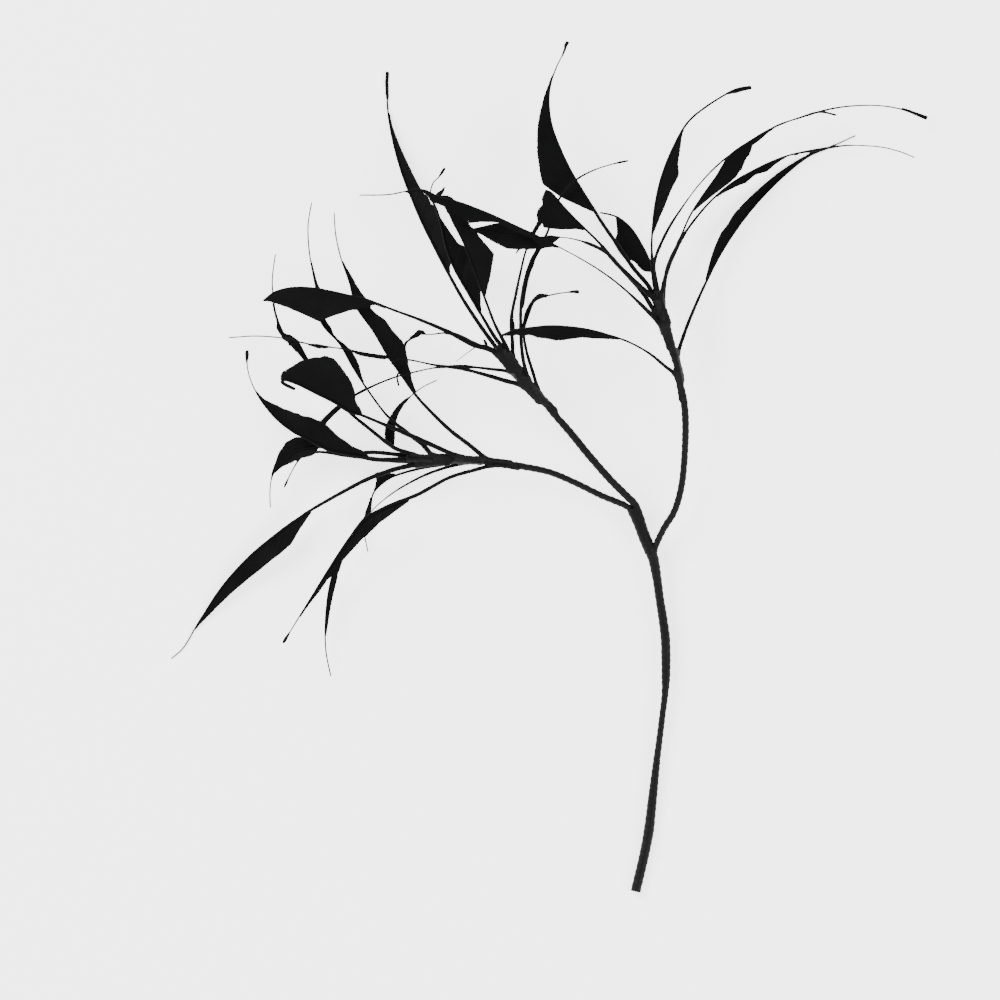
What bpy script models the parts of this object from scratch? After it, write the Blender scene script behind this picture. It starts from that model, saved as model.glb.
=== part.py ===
"""A spray of black goose feathers on taped wire, made to be sewn to a hat, lying on a table.

Three taped branches leave one taped stem. Every feather is a single grown piece: a bare quill, a vane
trimmed to a blade or a fan, and a fine tip. The tables below give places in millimetres on a drawing sheet
seen from above, x to the right and y away from the viewer, with z the height over the table.
Left and right are as seen from above, looking from a feather's root to its tip.
"""
import bpy
import bmesh
import math
import numpy as np

MM = 0.001

# Taped wires
WIRE_SIDES = 8
WIRE_SPAN = 8.5          # the longest straight span along a branch, in millimetres
AXIS_SPAN = 1.0          # the step at which a branch is felt for what touches it
TOUCH_GAP = 0.40         # air left between pieces that touch, in millimetres

# Feathers
QUILL_SPAN = 9.0         # the longest straight span along a quill, in millimetres
QUILL_TIP = 0.28         # a shaft's radius at its tip
VANE_EDGE = 0.22         # half the thickness of a vane at its cut edge
CUP = 0.18               # how far a vane rises for each millimetre away from its shaft

STEM_COLOUR = (0.012, 0.012, 0.013, 1.0)
FEATHER_COLOUR = (0.006, 0.006, 0.007, 1.0)

# A branch is a list of (x, y, z, radius), from its root to its tip
BRANCHES = {
    "stem": [
        (318.0, 53.5, 2.5, 2.5), (322.3, 71.5, 2.7, 2.5), (324.8, 85.0, 3.0, 2.6), (326.5, 100.0, 3.4, 2.3),
        (328.6, 119.0, 4.2, 1.8), (330.0, 130.0, 4.6, 1.65), (331.5, 142.0, 5.1, 1.6), (332.7, 152.0, 5.5, 1.7),
        (333.2, 161.0, 5.9, 2.2), (333.2, 172.0, 6.3, 2.4), (332.9, 181.0, 6.8, 2.4), (331.7, 190.5, 7.4, 2.3),
        (330.1, 200.5, 8.0, 2.2), (328.8, 210.0, 8.8, 2.3), (327.0, 220.0, 9.8, 2.7), (325.0, 225.3, 10.4, 3.0),
        (322.6, 231.0, 11.0, 3.1), (319.7, 238.5, 11.8, 3.0), (316.2, 245.9, 12.5, 2.9),
    ],
    "crown_branch": [
        (313.4, 246.9, 13.0, 1.6), (307.5, 249.5, 13.5, 1.6), (300.0, 252.6, 14.5, 1.6), (287.4, 258.8, 16.0, 1.6),
        (275.0, 263.9, 17.0, 1.6), (262.4, 266.6, 18.0, 1.7), (250.0, 268.5, 18.5, 1.9), (240.0, 269.5, 19.0, 1.9),
        (230.0, 270.0, 19.0, 1.8), (220.0, 270.2, 19.0, 1.6), (210.0, 270.5, 19.0, 1.4), (203.0, 270.7, 19.0, 1.1),
    ],
    "middle_branch": [
        (317.7, 247.6, 13.2, 1.9), (313.2, 252.3, 14.6, 1.9), (305.0, 260.5, 17.0, 1.9), (295.0, 271.8, 20.0, 1.9),
        (285.0, 284.0, 23.0, 1.9), (274.6, 295.7, 26.0, 1.7), (267.1, 304.3, 28.0, 2.1), (261.4, 310.3, 29.5, 2.6),
        (256.4, 316.8, 30.5, 3), (251.6, 323.1, 31.5, 2.4), (249.0, 327.3, 32.0, 1.4),
    ],
    "side_branch": [
        (330.4, 232.4, 11.5, 1.6), (333.0, 237.3, 12.7, 1.7), (337.0, 243.7, 15.0, 1.7), (339.9, 252.5, 17.5, 1.7),
        (341.6, 262.5, 20.0, 1.7), (342.5, 275.0, 22.0, 1.7), (342.8, 287.5, 24.0, 1.8), (342.2, 297.5, 25.0, 1.8),
        (340.5, 307.5, 26.0, 1.9), (338.3, 317.5, 26.5, 2.1), (335.4, 327.5, 27.0, 2.9), (332.5, 337.3, 27.5, 3.3),
        (329.4, 347.2, 28.0, 2.7), (327.7, 354.6, 28.0, 1.4),
    ],
}

# A feather is (branch, radius of its quill at the root, rows of (x, y, z, vane to the left, vane to the right))
FEATHERS = {
    "crown_feather_1": ("crown_branch", 1.02, [
        (243.4, 270.7, 21.0, 0, 0), (234.7, 277.5, 24.0, 0, 0), (224.7, 285.2, 27.0, 0, 0),
        (214.7, 294.9, 29.0, 0, 0), (208.1, 302.2, 30.0, 0, 0.3), (201.9, 310.7, 31.0, 0, 4.5),
        (194.2, 321.7, 32.0, 0, 9.9), (186.8, 334.2, 33.0, 0, 8.2), (178.2, 346.5, 34.0, 0, 7.1),
        (174.9, 358.5, 34.5, 0, 2.6), (170.6, 370.8, 35.0, 0, 0.2), (168.0, 382.5, 35.0, 0, 0),
        (167.2, 393.5, 35.0, 0, 0)]),
    "crown_feather_2": ("crown_branch", 1.15, [
        (216.5, 272.4, 19.5, 0, 0), (211.0, 278.0, 20.0, 0, 0), (202.6, 284.4, 21.0, 0, 0),
        (193.2, 292.6, 22.0, 0, 0), (183.6, 305.4, 23.0, 0, 0.6), (176.3, 316.8, 23.0, 0, 3.4),
        (169.9, 328.0, 22.0, 0, 1.6), (160.3, 339.4, 20.0, 0, 2.8), (158.1, 354.7, 18.0, 0, 4.9),
        (156.3, 363.9, 17.0, 0, 0.8), (154.4, 375.2, 16.0, 0, 0), (153.9, 387.7, 16.0, 0, 0),
        (155.7, 399.1, 16.0, 0, 0)]),
    "crown_feather_3": ("crown_branch", 1.1, [
        (203.5, 273.8, 20.5, 0, 0), (196.3, 276.6, 23.0, 0, 0), (186.0, 284.6, 26.0, 0, 0),
        (174.5, 294.2, 27.0, 0, 0), (167.3, 303.7, 28.0, 0, 0), (159.6, 312.2, 28.0, 0, 1.3),
        (151.8, 320.7, 27.0, 0, 1.9), (145.3, 328.8, 26.0, 1.0, 3.2), (141.2, 334.4, 25.0, 1.8, 0.3),
        (137.8, 343.7, 24.0, 0.6, 0), (136.3, 354.1, 24.0, 0, 0), (136.3, 362.6, 24.0, 0, 0),
        (137.7, 373.0, 24.0, 0, 0)]),
    "crown_feather_4": ("crown_branch", 1.35, [
        (226.3, 273.0, 22.0, 0, 0), (213.1, 278.8, 28.0, 0, 0), (201.4, 283.9, 33.0, 0, 0),
        (191.2, 288.1, 37.0, 0, 0), (181.0, 292.3, 40.0, 0, 1.9), (174.4, 294.2, 41.5, 0, 10.4),
        (167.4, 298.7, 43.0, 0, 16.4), (159.3, 302.7, 43.5, 0, 19.5), (149.9, 307.4, 43.5, 0, 13.8),
        (143.3, 309.7, 43.0, 0, 4.1), (141.1, 308.9, 42.5, 0, 0)]),
    "crown_feather_5": ("crown_branch", 1.01, [
        (200.0, 270.3, 21.0, 0, 0), (188.0, 270.2, 22.0, 0, 0), (175.2, 272.6, 22.0, 0, 4.5),
        (164.4, 274.9, 22.0, 0, 6.6), (155.0, 279.7, 22.0, 0, 11.3), (145.8, 284.6, 21.0, 0, 9.2),
        (137.9, 290.8, 20.0, 0, 6.6), (131.1, 298.8, 19.0, 0, 2.2), (127.3, 305.2, 18.0, 0, 0.3),
        (124.8, 311.1, 17.0, 0, 0), (123.4, 317.5, 17.0, 0.2, 0.2), (123.1, 325.0, 17.0, 0.2, 1.1)]),
    "crown_feather_6": ("crown_branch", 1.15, [
        (214.0, 271.0, 15.2, 0, 0), (200.2, 272.6, 13.5, 0, 0), (186.3, 273.9, 13.5, 0, 0),
        (172.3, 273.2, 13.5, 0, 0), (160.2, 276.5, 13.5, 0, 1.0), (150.4, 275.2, 13.5, 4.4, 6.7),
        (144.7, 272.2, 13.0, 3.6, 5.6), (139.7, 267.4, 13.0, 1.5, 2.9), (135.9, 261.9, 11.0, 0, 0.5),
        (134.7, 254.8, 9.0, 0, 0), (134.8, 246.0, 7.0, 0, 0)]),
    "crown_feather_7": ("crown_branch", 0.85, [
        (212.0, 269.5, 16.5, 0, 0), (197.5, 269.6, 12.5, 0, 0), (182.7, 271.2, 11.0, 0, 0),
        (172.3, 272.3, 10.0, 0, 0), (162.4, 273.9, 9.5, 0, 0), (156.0, 273.8, 9.0, 0, 0),
        (150.9, 271.8, 8.5, 0, 0), (148.0, 268.5, 7.5, 0, 0), (145.1, 263.4, 6.5, 0, 0),
        (141.7, 256.3, 5.0, 0.7, 0.2)]),
    "crown_feather_8": ("crown_branch", 1.37, [
        (212.0, 267.9, 19.0, 0, 0), (203.5, 266.9, 18.0, 0, 0), (193.5, 264.2, 17.0, 0, 0),
        (182.5, 259.9, 16.0, 0, 0), (170.3, 253.5, 14.0, 0, 0), (156.0, 245.4, 12.0, 0.8, 0),
        (149.4, 241.0, 11.0, 3.8, 0), (142.0, 235.9, 10.0, 7.7, 0), (127.6, 224.5, 7.5, 8.5, 0),
        (117.3, 214.4, 5.5, 7.2, 0), (108.8, 204.1, 3.5, 5.2, 0), (102.0, 193.8, 1.8, 2.6, 0),
        (97.0, 185.8, 0.6, 0.6, 0), (93.6, 179.7, 0, 0, 0), (90.1, 174.7, 0, 0, 0), (84.8, 170.2, 0, 0, 0)]),
    "crown_feather_9": ("crown_branch", 1.0, [
        (246.5, 267.3, 20.5, 0, 0), (236.5, 264.8, 23.0, 0, 0), (224.0, 260.9, 26.0, 0, 0),
        (209.2, 252.9, 28.0, 0, 0), (197.6, 248.4, 29.0, 3.3, 0), (189.4, 244.7, 29.0, 5.4, 0),
        (182.1, 240.3, 29.0, 6.9, 0), (175.1, 231.3, 28.0, 5.2, 0), (168.4, 221.5, 26.0, 3.5, 0),
        (161.2, 210.2, 24.0, 2.3, 0), (154.2, 199.0, 21.0, 1.2, 0), (147.5, 188.3, 18.0, 0, 0),
        (141.4, 178.4, 15.0, 1.1, 0.8)]),
    "crown_feather_10": ("crown_branch", 0.8, [
        (228.8, 267.7, 16.5, 0, 0), (219.5, 265.2, 14.0, 0, 0), (209.2, 261.0, 12.0, 0, 0),
        (197.0, 254.0, 11.0, 0, 0), (186.1, 245.0, 11.0, 0, 0), (179.6, 235.5, 11.0, 0, 0),
        (173.4, 225.2, 10.5, 2.1, 0), (167.4, 215.9, 10.0, 2.4, 0), (164.3, 205.4, 9.0, 2.8, 0),
        (162.8, 194.0, 8.0, 2.0, 0), (162.3, 182.5, 7.0, 0.6, 0), (162.9, 172.5, 6.0, 0, 0),
        (165.2, 161.3, 5.0, 0, 0)]),
    "crown_feather_11": ("crown_branch", 0.8, [
        (220.5, 267.6, 16.0, 0, 0), (210.0, 265.8, 11.5, 0, 0), (198.5, 262.6, 8.5, 0, 0.6),
        (192.3, 259.4, 7.0, 0, 6.3), (186.4, 253.2, 6.0, 0, 0.3), (184.8, 243.9, 5.0, 0, 2.5),
        (182.0, 234.8, 4.0, 0, 0), (183.7, 224.0, 3.0, 0, 0)]),
    "crown_feather_12": ("crown_branch", 0.8, [
        (206.0, 271.8, 16.9, 0, 0), (201.0, 274.0, 16.6, 0, 0), (197.0, 276.5, 15.0, 0.6, 0.6),
        (195.0, 280.5, 13.0, 2.6, 2.6), (195.0, 286.0, 12.0, 2.6, 2.8), (196.6, 291.5, 11.0, 1.7, 2.0),
        (200.3, 297.5, 10.0, 1.1, 1.4), (207.3, 303.8, 9.5, 0, 0), (212.7, 307.4, 9.0, 0, 0),
        (218.6, 310.2, 9.0, 0, 0)]),
    "middle_feather_1": ("middle_branch", 1.14, [
        (249.0, 324.9, 30.0, 0, 0), (240.5, 336.6, 28.5, 0, 0), (231.5, 350.3, 26.0, 0, 0),
        (223.8, 364.1, 23.0, 0, 1.3), (220.1, 371.0, 21.5, 0, 9.3), (216.2, 378.7, 19.0, 0, 10.6),
        (211.2, 388.7, 16.0, 0, 9.0), (205.9, 401.0, 12.0, 0, 6.5), (201.0, 413.7, 8.5, 0, 4.8),
        (197.4, 425.9, 5.5, 0, 3.0), (194.9, 437.3, 3.0, 0, 1.4), (193.6, 446.6, 1.0, 0, 0),
        (193.4, 455.0, 0, 0.9, 0.8), (194.0, 465.0, 0, 1.4, 0.2)]),
    "middle_feather_2": ("middle_branch", 0.9, [
        (253.0, 327.0, 34.5, 0, 0), (247.5, 337.5, 37.0, 0, 0), (243.3, 348.4, 39.5, 0, 0.3),
        (239.4, 358.6, 41.0, 0, 5.9), (235.5, 368.9, 42.0, 0, 12.2), (231.7, 378.6, 43.0, 0, 8.4),
        (226.9, 387.9, 43.5, 0, 6.6), (222.2, 396.7, 43.5, 0, 5.6), (215.4, 399.5, 43.5, 0, 0),
        (216.3, 407.3, 43.5, 0, 0), (219.5, 411.0, 43.5, 0, 0.2), (222.6, 415.6, 43.5, 0.4, 0.3)]),
    "middle_feather_3": ("middle_branch", 0.92, [
        (248.3, 330.0, 32.2, 0, 0), (241.0, 341.9, 33.5, 0, 0.3), (233.6, 354.5, 34.0, 0, 6.2),
        (227.4, 365.3, 33.5, 0, 8.0), (223.3, 375.6, 33.0, 0, 7.0), (221.2, 384.9, 32.5, 0, 2.8),
        (218.7, 394.1, 32.0, 0, 0.2), (215.5, 400.9, 32.0, 0, 0)]),
    "middle_feather_4": ("middle_branch", 0.8, [
        (256.8, 320.8, 30.5, 0, 0), (256.2, 329.4, 29.5, 0, 0), (255.6, 340.1, 28.0, 0.6, 1.3),
        (257.6, 351.4, 27.0, 0, 0.8), (260.1, 363.1, 26.0, 0.3, 0.6), (262.7, 373.8, 25.0, 0, 0),
        (266.4, 382.5, 24.0, 1.6, 1.2), (271.1, 393.0, 23.0, 0.2, 1.7)]),
    "middle_feather_5": ("middle_branch", 1.15, [
        (265.6, 308.1, 31.0, 0, 0), (262.4, 316.3, 33.0, 0, 0), (260.8, 326.1, 34.0, 0, 0),
        (260.3, 337.6, 35.0, 0.8, 2.9), (260.6, 348.6, 35.0, 0.5, 1.8), (262.5, 360.0, 35.0, 0.7, 2.0),
        (265.4, 369.1, 35.0, 0.5, 2.1), (269.2, 376.1, 35.0, 0, 1.7), (273.4, 383.0, 35.0, 0, 0),
        (276.3, 391.6, 35.5, 0, 0), (279.8, 400.6, 36.0, 0, 0), (284.4, 406.7, 36.0, 0, 0),
        (289.6, 410.9, 36.0, 0, 0), (295.0, 413.8, 36.0, 0, 0), (300.5, 416.0, 35.5, 0, 0),
        (307.0, 417.9, 35.0, 0, 0), (314.1, 419.4, 35.0, 0, 0)]),
    "middle_feather_6": ("middle_branch", 1.05, [
        (269.6, 304.0, 28.0, 0, 0), (266.5, 313.6, 28.0, 0, 0), (263.2, 324.6, 29.0, 0, 0),
        (262.0, 334.5, 30.0, 0, 0), (264.7, 343.7, 30.5, 2.1, 0), (267.2, 349.1, 31.0, 1.4, 0),
        (272.1, 351.5, 31.0, 1.8, 0.6), (279.5, 353.2, 31.0, 0, 0), (289.5, 354.4, 31.0, 0.5, 1.4)]),
    "middle_feather_7": ("middle_branch", 1.19, [
        (245.5, 325.0, 34.0, 0, 0), (236.4, 327.6, 36.0, 0, 0), (224.4, 333.8, 38.0, 0, 0),
        (209.8, 340.0, 40.0, 0, 0), (195.7, 345.2, 41.5, 0, 0), (183.1, 350.1, 42.0, 4.0, 0),
        (173.8, 352.2, 42.0, 9.3, 0), (165.1, 354.2, 41.5, 16.6, 0), (154.7, 355.9, 41.0, 14.1, 0),
        (145.7, 355.9, 40.0, 11.4, 0), (137.6, 353.8, 39.0, 7.3, 0), (131.6, 349.4, 38.0, 0.2, 0)]),
    "middle_feather_8": ("middle_branch", 1.15, [
        (260.8, 307.2, 30.0, 0, 0), (252.9, 309.5, 32.0, 0, 0), (242.4, 312.6, 34.0, 0, 0),
        (230.1, 315.7, 36.5, 0, 0), (217.7, 317.3, 37.5, 0, 0), (204.9, 319.9, 38.0, 0, 0),
        (192.5, 321.0, 38.5, 0.7, 1.4), (181.1, 322.8, 39.0, 0.9, 1.2), (172.4, 325.3, 39.0, 0, 0),
        (160.0, 326.8, 39.0, 1.3, 0.8), (150.2, 328.8, 38.5, 0.7, 0), (139.9, 331.0, 38.0, 0, 0),
        (127.5, 331.8, 37.0, 0, 0), (114.5, 331.0, 36.0, 0, 0)]),
    "middle_feather_9": ("middle_branch", 1.01, [
        (254.8, 313.9, 28.5, 0, 0), (245.5, 315.4, 29.5, 0, 0), (232.6, 316.6, 31.0, 0, 0),
        (219.8, 316.3, 33.0, 0, 0), (209.1, 314.3, 34.5, 0, 0), (197.0, 311.1, 35.0, 0, 0),
        (185.9, 306.6, 35.0, 0, 0), (176.6, 301.8, 34.0, 0, 0), (169.3, 296.8, 32.5, 1.9, 0.8),
        (161.0, 289.0, 30.5, 2.7, 0.9)]),
    "middle_feather_10": ("middle_branch", 0.95, [
        (250.9, 322.3, 28.5, 0, 0), (238.4, 327.6, 27.5, 0, 0), (226.1, 333.2, 26.5, 0, 0),
        (215.3, 332.8, 24.5, 0, 0.3), (208.3, 332.4, 22.0, 1.1, 1.4), (202.7, 327.4, 19.5, 0, 0.9),
        (203.5, 317.5, 17.0, 0, 0), (198.7, 312.8, 16.0, 0, 0), (199.3, 307.0, 15.0, 0.1, 0.3)]),
    "side_feather_1": ("side_branch", 1.23, [
        (324.8, 355.9, 31.0, 0, 0), (316.8, 365.6, 32.0, 0, 0), (309.4, 376.3, 32.0, 0, 0),
        (301.4, 387.8, 31.0, 1.0, 0), (297.4, 394.2, 31.0, 1.2, 0), (291.6, 403.5, 30.0, 8.7, 0),
        (285.3, 414.3, 29.0, 15.4, 0), (279.8, 426.1, 28.0, 11.7, 0), (275.8, 437.4, 27.0, 7.2, 0),
        (274.4, 448.8, 26.0, 3.2, 0), (275.4, 458.2, 25.0, 1.0, 0), (278.3, 466.6, 24.0, 0, 0),
        (281.6, 473.3, 23.0, 0, 0), (283.7, 479.4, 22.0, 0.8, 1.2)]),
    "side_feather_2": ("side_branch", 1.25, [
        (327.0, 350.0, 32.0, 0, 0), (316.4, 359.9, 38.0, 0, 0), (307.3, 368.8, 42.0, 0, 0),
        (299.4, 378.2, 44.0, 0, 0), (291.9, 385.6, 44.0, 1.2, 0), (285.5, 392.0, 43.5, 11.6, 0),
        (279.8, 398.3, 43.0, 14.6, 0), (275.8, 402.9, 43.0, 9.9, 0), (272.6, 404.5, 43.0, 4.9, 0)]),
    "side_feather_3": ("side_branch", 0.8, [
        (328.7, 354.3, 25.0, 0, 0), (326.8, 364.0, 23.5, 0, 0), (323.7, 371.8, 22.0, 7.2, 0),
        (320.1, 378.9, 20.5, 11.6, 0), (315.8, 385.6, 19.0, 11.7, 0), (310.4, 390.6, 18.0, 3.5, 0),
        (305.8, 392.7, 18.0, 0.3, 0), (299.9, 393.9, 18.0, 0, 0)]),
    "side_feather_4": ("side_branch", 0.9, [
        (327.2, 357.8, 31.0, 0, 0), (326.2, 366.5, 34.0, 0, 0), (325.7, 377.3, 36.0, 0, 0),
        (326.3, 387.2, 37.0, 0, 2.2), (327.6, 398.1, 38.0, 0, 5.2), (330.2, 409.8, 38.0, 0, 7.4),
        (333.9, 420.2, 38.0, 0, 5.3), (338.1, 429.2, 37.0, 0, 2.4), (341.7, 435.7, 36.0, 0, 0.4),
        (346.1, 441.0, 35.0, 0, 0), (352.7, 446.2, 34.0, 0, 0), (360.2, 451.1, 33.0, 0, 0),
        (367.7, 455.1, 32.0, 0.1, 2.0), (375.4, 456.7, 31.0, 0.2, 1.6)]),
    "side_feather_5": ("side_branch", 1.1, [
        (330.6, 350.7, 29.5, 0, 0), (333.4, 363.9, 30.5, 0, 0), (338.9, 377.4, 31.0, 0, 0),
        (344.3, 390.8, 32.0, 0, 0.3), (350.9, 401.4, 32.0, 0, 3.2), (358.4, 412.0, 31.0, 0, 7.0),
        (364.9, 422.1, 30.0, 0, 8.8), (375.3, 429.5, 28.0, 0, 2.4), (385.9, 435.8, 26.0, 0, 0.6),
        (400.0, 441.3, 22.5, 0, 0), (417.8, 446.2, 18.0, 0, 0), (435.3, 447.7, 14.0, 0, 0),
        (450.2, 446.1, 10.0, 0.3, 0.3), (464.0, 440.9, 7.0, 1.7, 0.2)]),
    "side_feather_6": ("side_branch", 0.82, [
        (331.7, 350.0, 25.5, 0, 0), (333.9, 366.5, 21.0, 0, 0), (341.2, 381.3, 18.5, 0, 0),
        (349.2, 392.5, 16.0, 0, 0.2), (357.5, 401.6, 14.0, 0, 0.8), (366.8, 409.2, 12.5, 0, 3.1),
        (376.2, 414.7, 11.0, 0, 2.5), (386.0, 419.5, 9.5, 0, 2.2), (395.9, 423.1, 8.5, 0, 0.6),
        (408.6, 425.5, 7.5, 0, 0), (424.0, 427.8, 6.5, 0, 0), (439.9, 427.2, 5.5, 0, 0),
        (450.2, 424.9, 5.0, 0, 0), (458.1, 421.8, 4.5, 0, 0)]),
    "side_feather_7": ("side_branch", 1.04, [
        (338.9, 322.3, 25.0, 0, 0), (342.3, 333.5, 20.5, 0, 0), (346.6, 344.4, 16.0, 0, 0),
        (352.5, 357.6, 12.0, 0.5, 0), (360.0, 372.5, 8.5, 4.0, 0), (369.4, 387.1, 5.5, 5.2, 0),
        (379.9, 400.2, 3.0, 4.4, 0), (392.6, 412.9, 1.2, 3.0, 0), (404.8, 422.5, 0, 1.1, 0),
        (416.3, 427.4, 0, 0.2, 0), (428.6, 433.0, 0, 0, 0)]),
    "side_feather_8": ("side_branch", 0.8, [
        (337.7, 312.3, 28.0, 0, 0), (331.9, 317.3, 30.5, 0, 0), (324.3, 323.4, 33.0, 0, 0),
        (314.6, 328.7, 36.0, 0, 0), (305.8, 331.8, 38.0, 1.5, 0), (294.8, 334.8, 40.0, 4.2, 0),
        (284.9, 336.2, 41.0, 6.2, 0), (274.9, 336.7, 41.5, 6.7, 0), (265.0, 335.7, 42.0, 3.8, 0),
        (257.5, 334.7, 42.0, 2.6, 0), (250.5, 331.8, 42.0, 0, 0)]),
    "side_feather_9": ("side_branch", 0.8, [
        (329.6, 338.1, 31.0, 0, 0), (319.3, 348.6, 36.0, 0, 0), (309.0, 357.7, 42.0, 0, 0),
        (298.8, 365.0, 47.0, 0, 0), (288.6, 371.0, 51.0, 0, 0), (279.7, 375.7, 54.0, 0.3, 0),
        (270.1, 380.6, 56.0, 3.6, 0), (259.8, 385.3, 58.0, 2.4, 0), (249.9, 390.0, 59.0, 2.2, 0),
        (240.2, 394.1, 59.0, 6.5, 0), (230.4, 397.8, 59.0, 6.2, 0), (220.3, 400.5, 58.0, 3.6, 0),
        (210.1, 404.5, 57.0, 0.9, 0), (194.9, 402.0, 55.0, 0, 0), (180.0, 401.7, 53.0, 0, 0)]),
    "side_feather_10": ("side_branch", 1.05, [
        (326.3, 345.4, 30.5, 0, 0), (320.6, 354.3, 32.0, 0, 0), (311.4, 364.5, 36.0, 0, 0),
        (303.8, 372.8, 39.0, 0, 0), (294.4, 377.7, 44.0, 0, 0), (284.0, 380.5, 47.0, 0.3, 0),
        (274.1, 380.9, 48.0, 5.1, 0.9), (264.1, 381.3, 49.0, 6.8, 2.7), (254.2, 382.4, 50.0, 7.3, 6.1),
        (244.8, 383.9, 50.5, 4.1, 3.5), (235.8, 385.0, 51.0, 1.0, 0)]),
    "side_feather_11": ("side_branch", 0.7, [
        (328.1, 359.5, 26.5, 0, 0), (327.4, 369.8, 24.0, 0, 0), (333.6, 384.5, 22.0, 0, 0),
        (341.4, 396.8, 20.0, 0, 0), (349.1, 407.2, 19.0, 0, 0), (357.6, 416.4, 18.0, 0, 0),
        (365.7, 423.0, 18.0, 0, 0), (376.7, 429.8, 17.5, 0, 0), (389.0, 437.6, 17.0, 0, 0),
        (399.8, 441.3, 16.0, 0, 0), (409.8, 444.3, 15.0, 0, 0), (418.6, 442.8, 14.0, 0, 0)]),
}


def smooth_rows(rows, longest):
    """Rows on a smooth curve through the given rows, no two of them further apart than the longest span.

    Places go by Catmull-Rom, the other columns straight between.
    """
    rows = np.array(rows, dtype=float)
    place = rows[:, :3]
    before = np.vstack([2 * place[0] - place[1], place[:-1]])
    after = np.vstack([place[1:], 2 * place[-1] - place[-2]])
    slope = (after - before) / 2
    out = []
    for i in range(len(rows) - 1):
        steps = math.ceil(np.linalg.norm(place[i + 1] - place[i]) / longest)
        for k in range(steps):
            t = k / steps
            t2, t3 = t * t, t * t * t
            spot = ((2 * t3 - 3 * t2 + 1) * place[i] + (t3 - 2 * t2 + t) * slope[i]
                    + (3 * t2 - 2 * t3) * place[i + 1] + (t3 - t2) * slope[i + 1])
            out.append(np.hstack([spot, (1 - t) * rows[i, 3:] + t * rows[i + 1, 3:]]))
    out.append(rows[-1])
    return np.array(out)


def directions(places):
    """Unit directions along a line of places."""
    step = np.gradient(places, axis=0)
    return step / np.linalg.norm(step, axis=1)[:, None]


def shaft_radii(places, root_radius):
    """A shaft's radius at each place: it thins evenly with length, from its root to its tip."""
    length = np.concatenate([[0.0], np.cumsum(np.linalg.norm(np.diff(places, axis=0), axis=1))])
    return root_radius + (QUILL_TIP - root_radius) * (length / length[-1]) ** 0.7


def clear_of(places, radii, branch):
    """Moves the places of a quill that lie in or on its branch straight out, until it only touches the branch."""
    axis = smooth_rows(branch, AXIS_SPAN)
    placed = places.copy()
    for i, place in enumerate(places):
        away = place - axis[:, :3]
        distance = np.linalg.norm(away, axis=1)
        near = int(np.argmin(distance - axis[:, 3]))
        needed = axis[near, 3] + radii[i] + TOUCH_GAP
        if distance[near] < needed:
            placed[i] = axis[near, :3] + away[near] / distance[near] * needed
    return placed


def black(name, colour, roughness):
    """A plain dark material."""
    material = bpy.data.materials.new(name)
    material.use_nodes = True
    shader = material.node_tree.nodes["Principled BSDF"]
    shader.inputs["Base Color"].default_value = colour
    shader.inputs["Roughness"].default_value = roughness
    return material


def taped_wire(name, rows, collection, material):
    """A wire wrapped in tape: a curve with a round bevel that follows the branch's own radius."""
    points = smooth_rows(rows, WIRE_SPAN)
    curve = bpy.data.curves.new(name, "CURVE")
    curve.dimensions = "3D"
    curve.bevel_depth = MM
    curve.bevel_resolution = WIRE_SIDES // 4
    curve.use_fill_caps = True
    spline = curve.splines.new("POLY")
    spline.points.add(len(points) - 1)
    for point, (x, y, z, radius) in zip(spline.points, points):
        point.co = (x * MM, y * MM, z * MM, 1.0)
        point.radius = radius
    wire = bpy.data.objects.new(name, curve)
    wire.data.materials.append(material)
    collection.objects.link(wire)
    return wire


def feather(name, branch, root_radius, rows, collection, material):
    """A feather: six-sided sections along its shaft, drawn out sideways to the edges of the vane."""
    stations = smooth_rows(rows, QUILL_SPAN)
    radii = shaft_radii(stations[:, :3], root_radius)
    stations[:, :3] = clear_of(stations[:, :3], radii, BRANCHES[branch])
    stations[:, 2] = np.maximum(stations[:, 2], radii)
    along = directions(stations[:, :3])
    side = np.cross(along, (0.0, 0.0, 1.0))
    side /= np.linalg.norm(side, axis=1)[:, None]
    up = np.cross(side, along)
    left = np.maximum(stations[:, 3], radii)
    right = np.maximum(stations[:, 4], radii)
    edge = np.minimum(VANE_EDGE, radii * 0.55)
    middle = stations[:, :3]
    # around the section: shaft's top, left edge's top and bottom, shaft's bottom, right edge's bottom and top
    across = np.stack([np.zeros_like(radii), -left, -left, np.zeros_like(radii), right, right], axis=1)
    lift_left = (left - radii) * CUP
    lift_right = (right - radii) * CUP
    rise = np.stack([radii, lift_left + edge, lift_left - edge, -radii, lift_right - edge, lift_right + edge], axis=1)
    points = middle[:, None, :] + across[:, :, None] * side[:, None, :] + rise[:, :, None] * up[:, None, :]
    points[:, :, 2] = np.maximum(points[:, :, 2], 0.0)
    sections, sides = points.shape[:2]
    faces = []
    for i in range(sections - 1):
        for k in range(sides):
            a, b = i * sides + k, i * sides + (k + 1) % sides
            faces.append((a, b, b + sides, a + sides))
    faces.append(tuple(range(sides)))
    faces.append(tuple(range((sections - 1) * sides, sections * sides)))
    mesh = bpy.data.meshes.new(name)
    mesh.from_pydata((points.reshape(-1, 3) * MM).tolist(), [], faces)
    solid = bmesh.new()
    solid.from_mesh(mesh)
    bmesh.ops.recalc_face_normals(solid, faces=solid.faces)
    bmesh.ops.triangulate(solid, faces=solid.faces)
    solid.to_mesh(mesh)
    solid.free()
    mesh.shade_smooth()
    mesh.set_sharp_from_angle(angle=math.radians(40))
    mesh.materials.append(material)
    piece = bpy.data.objects.new(name, mesh)
    collection.objects.link(piece)
    return piece


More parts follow.
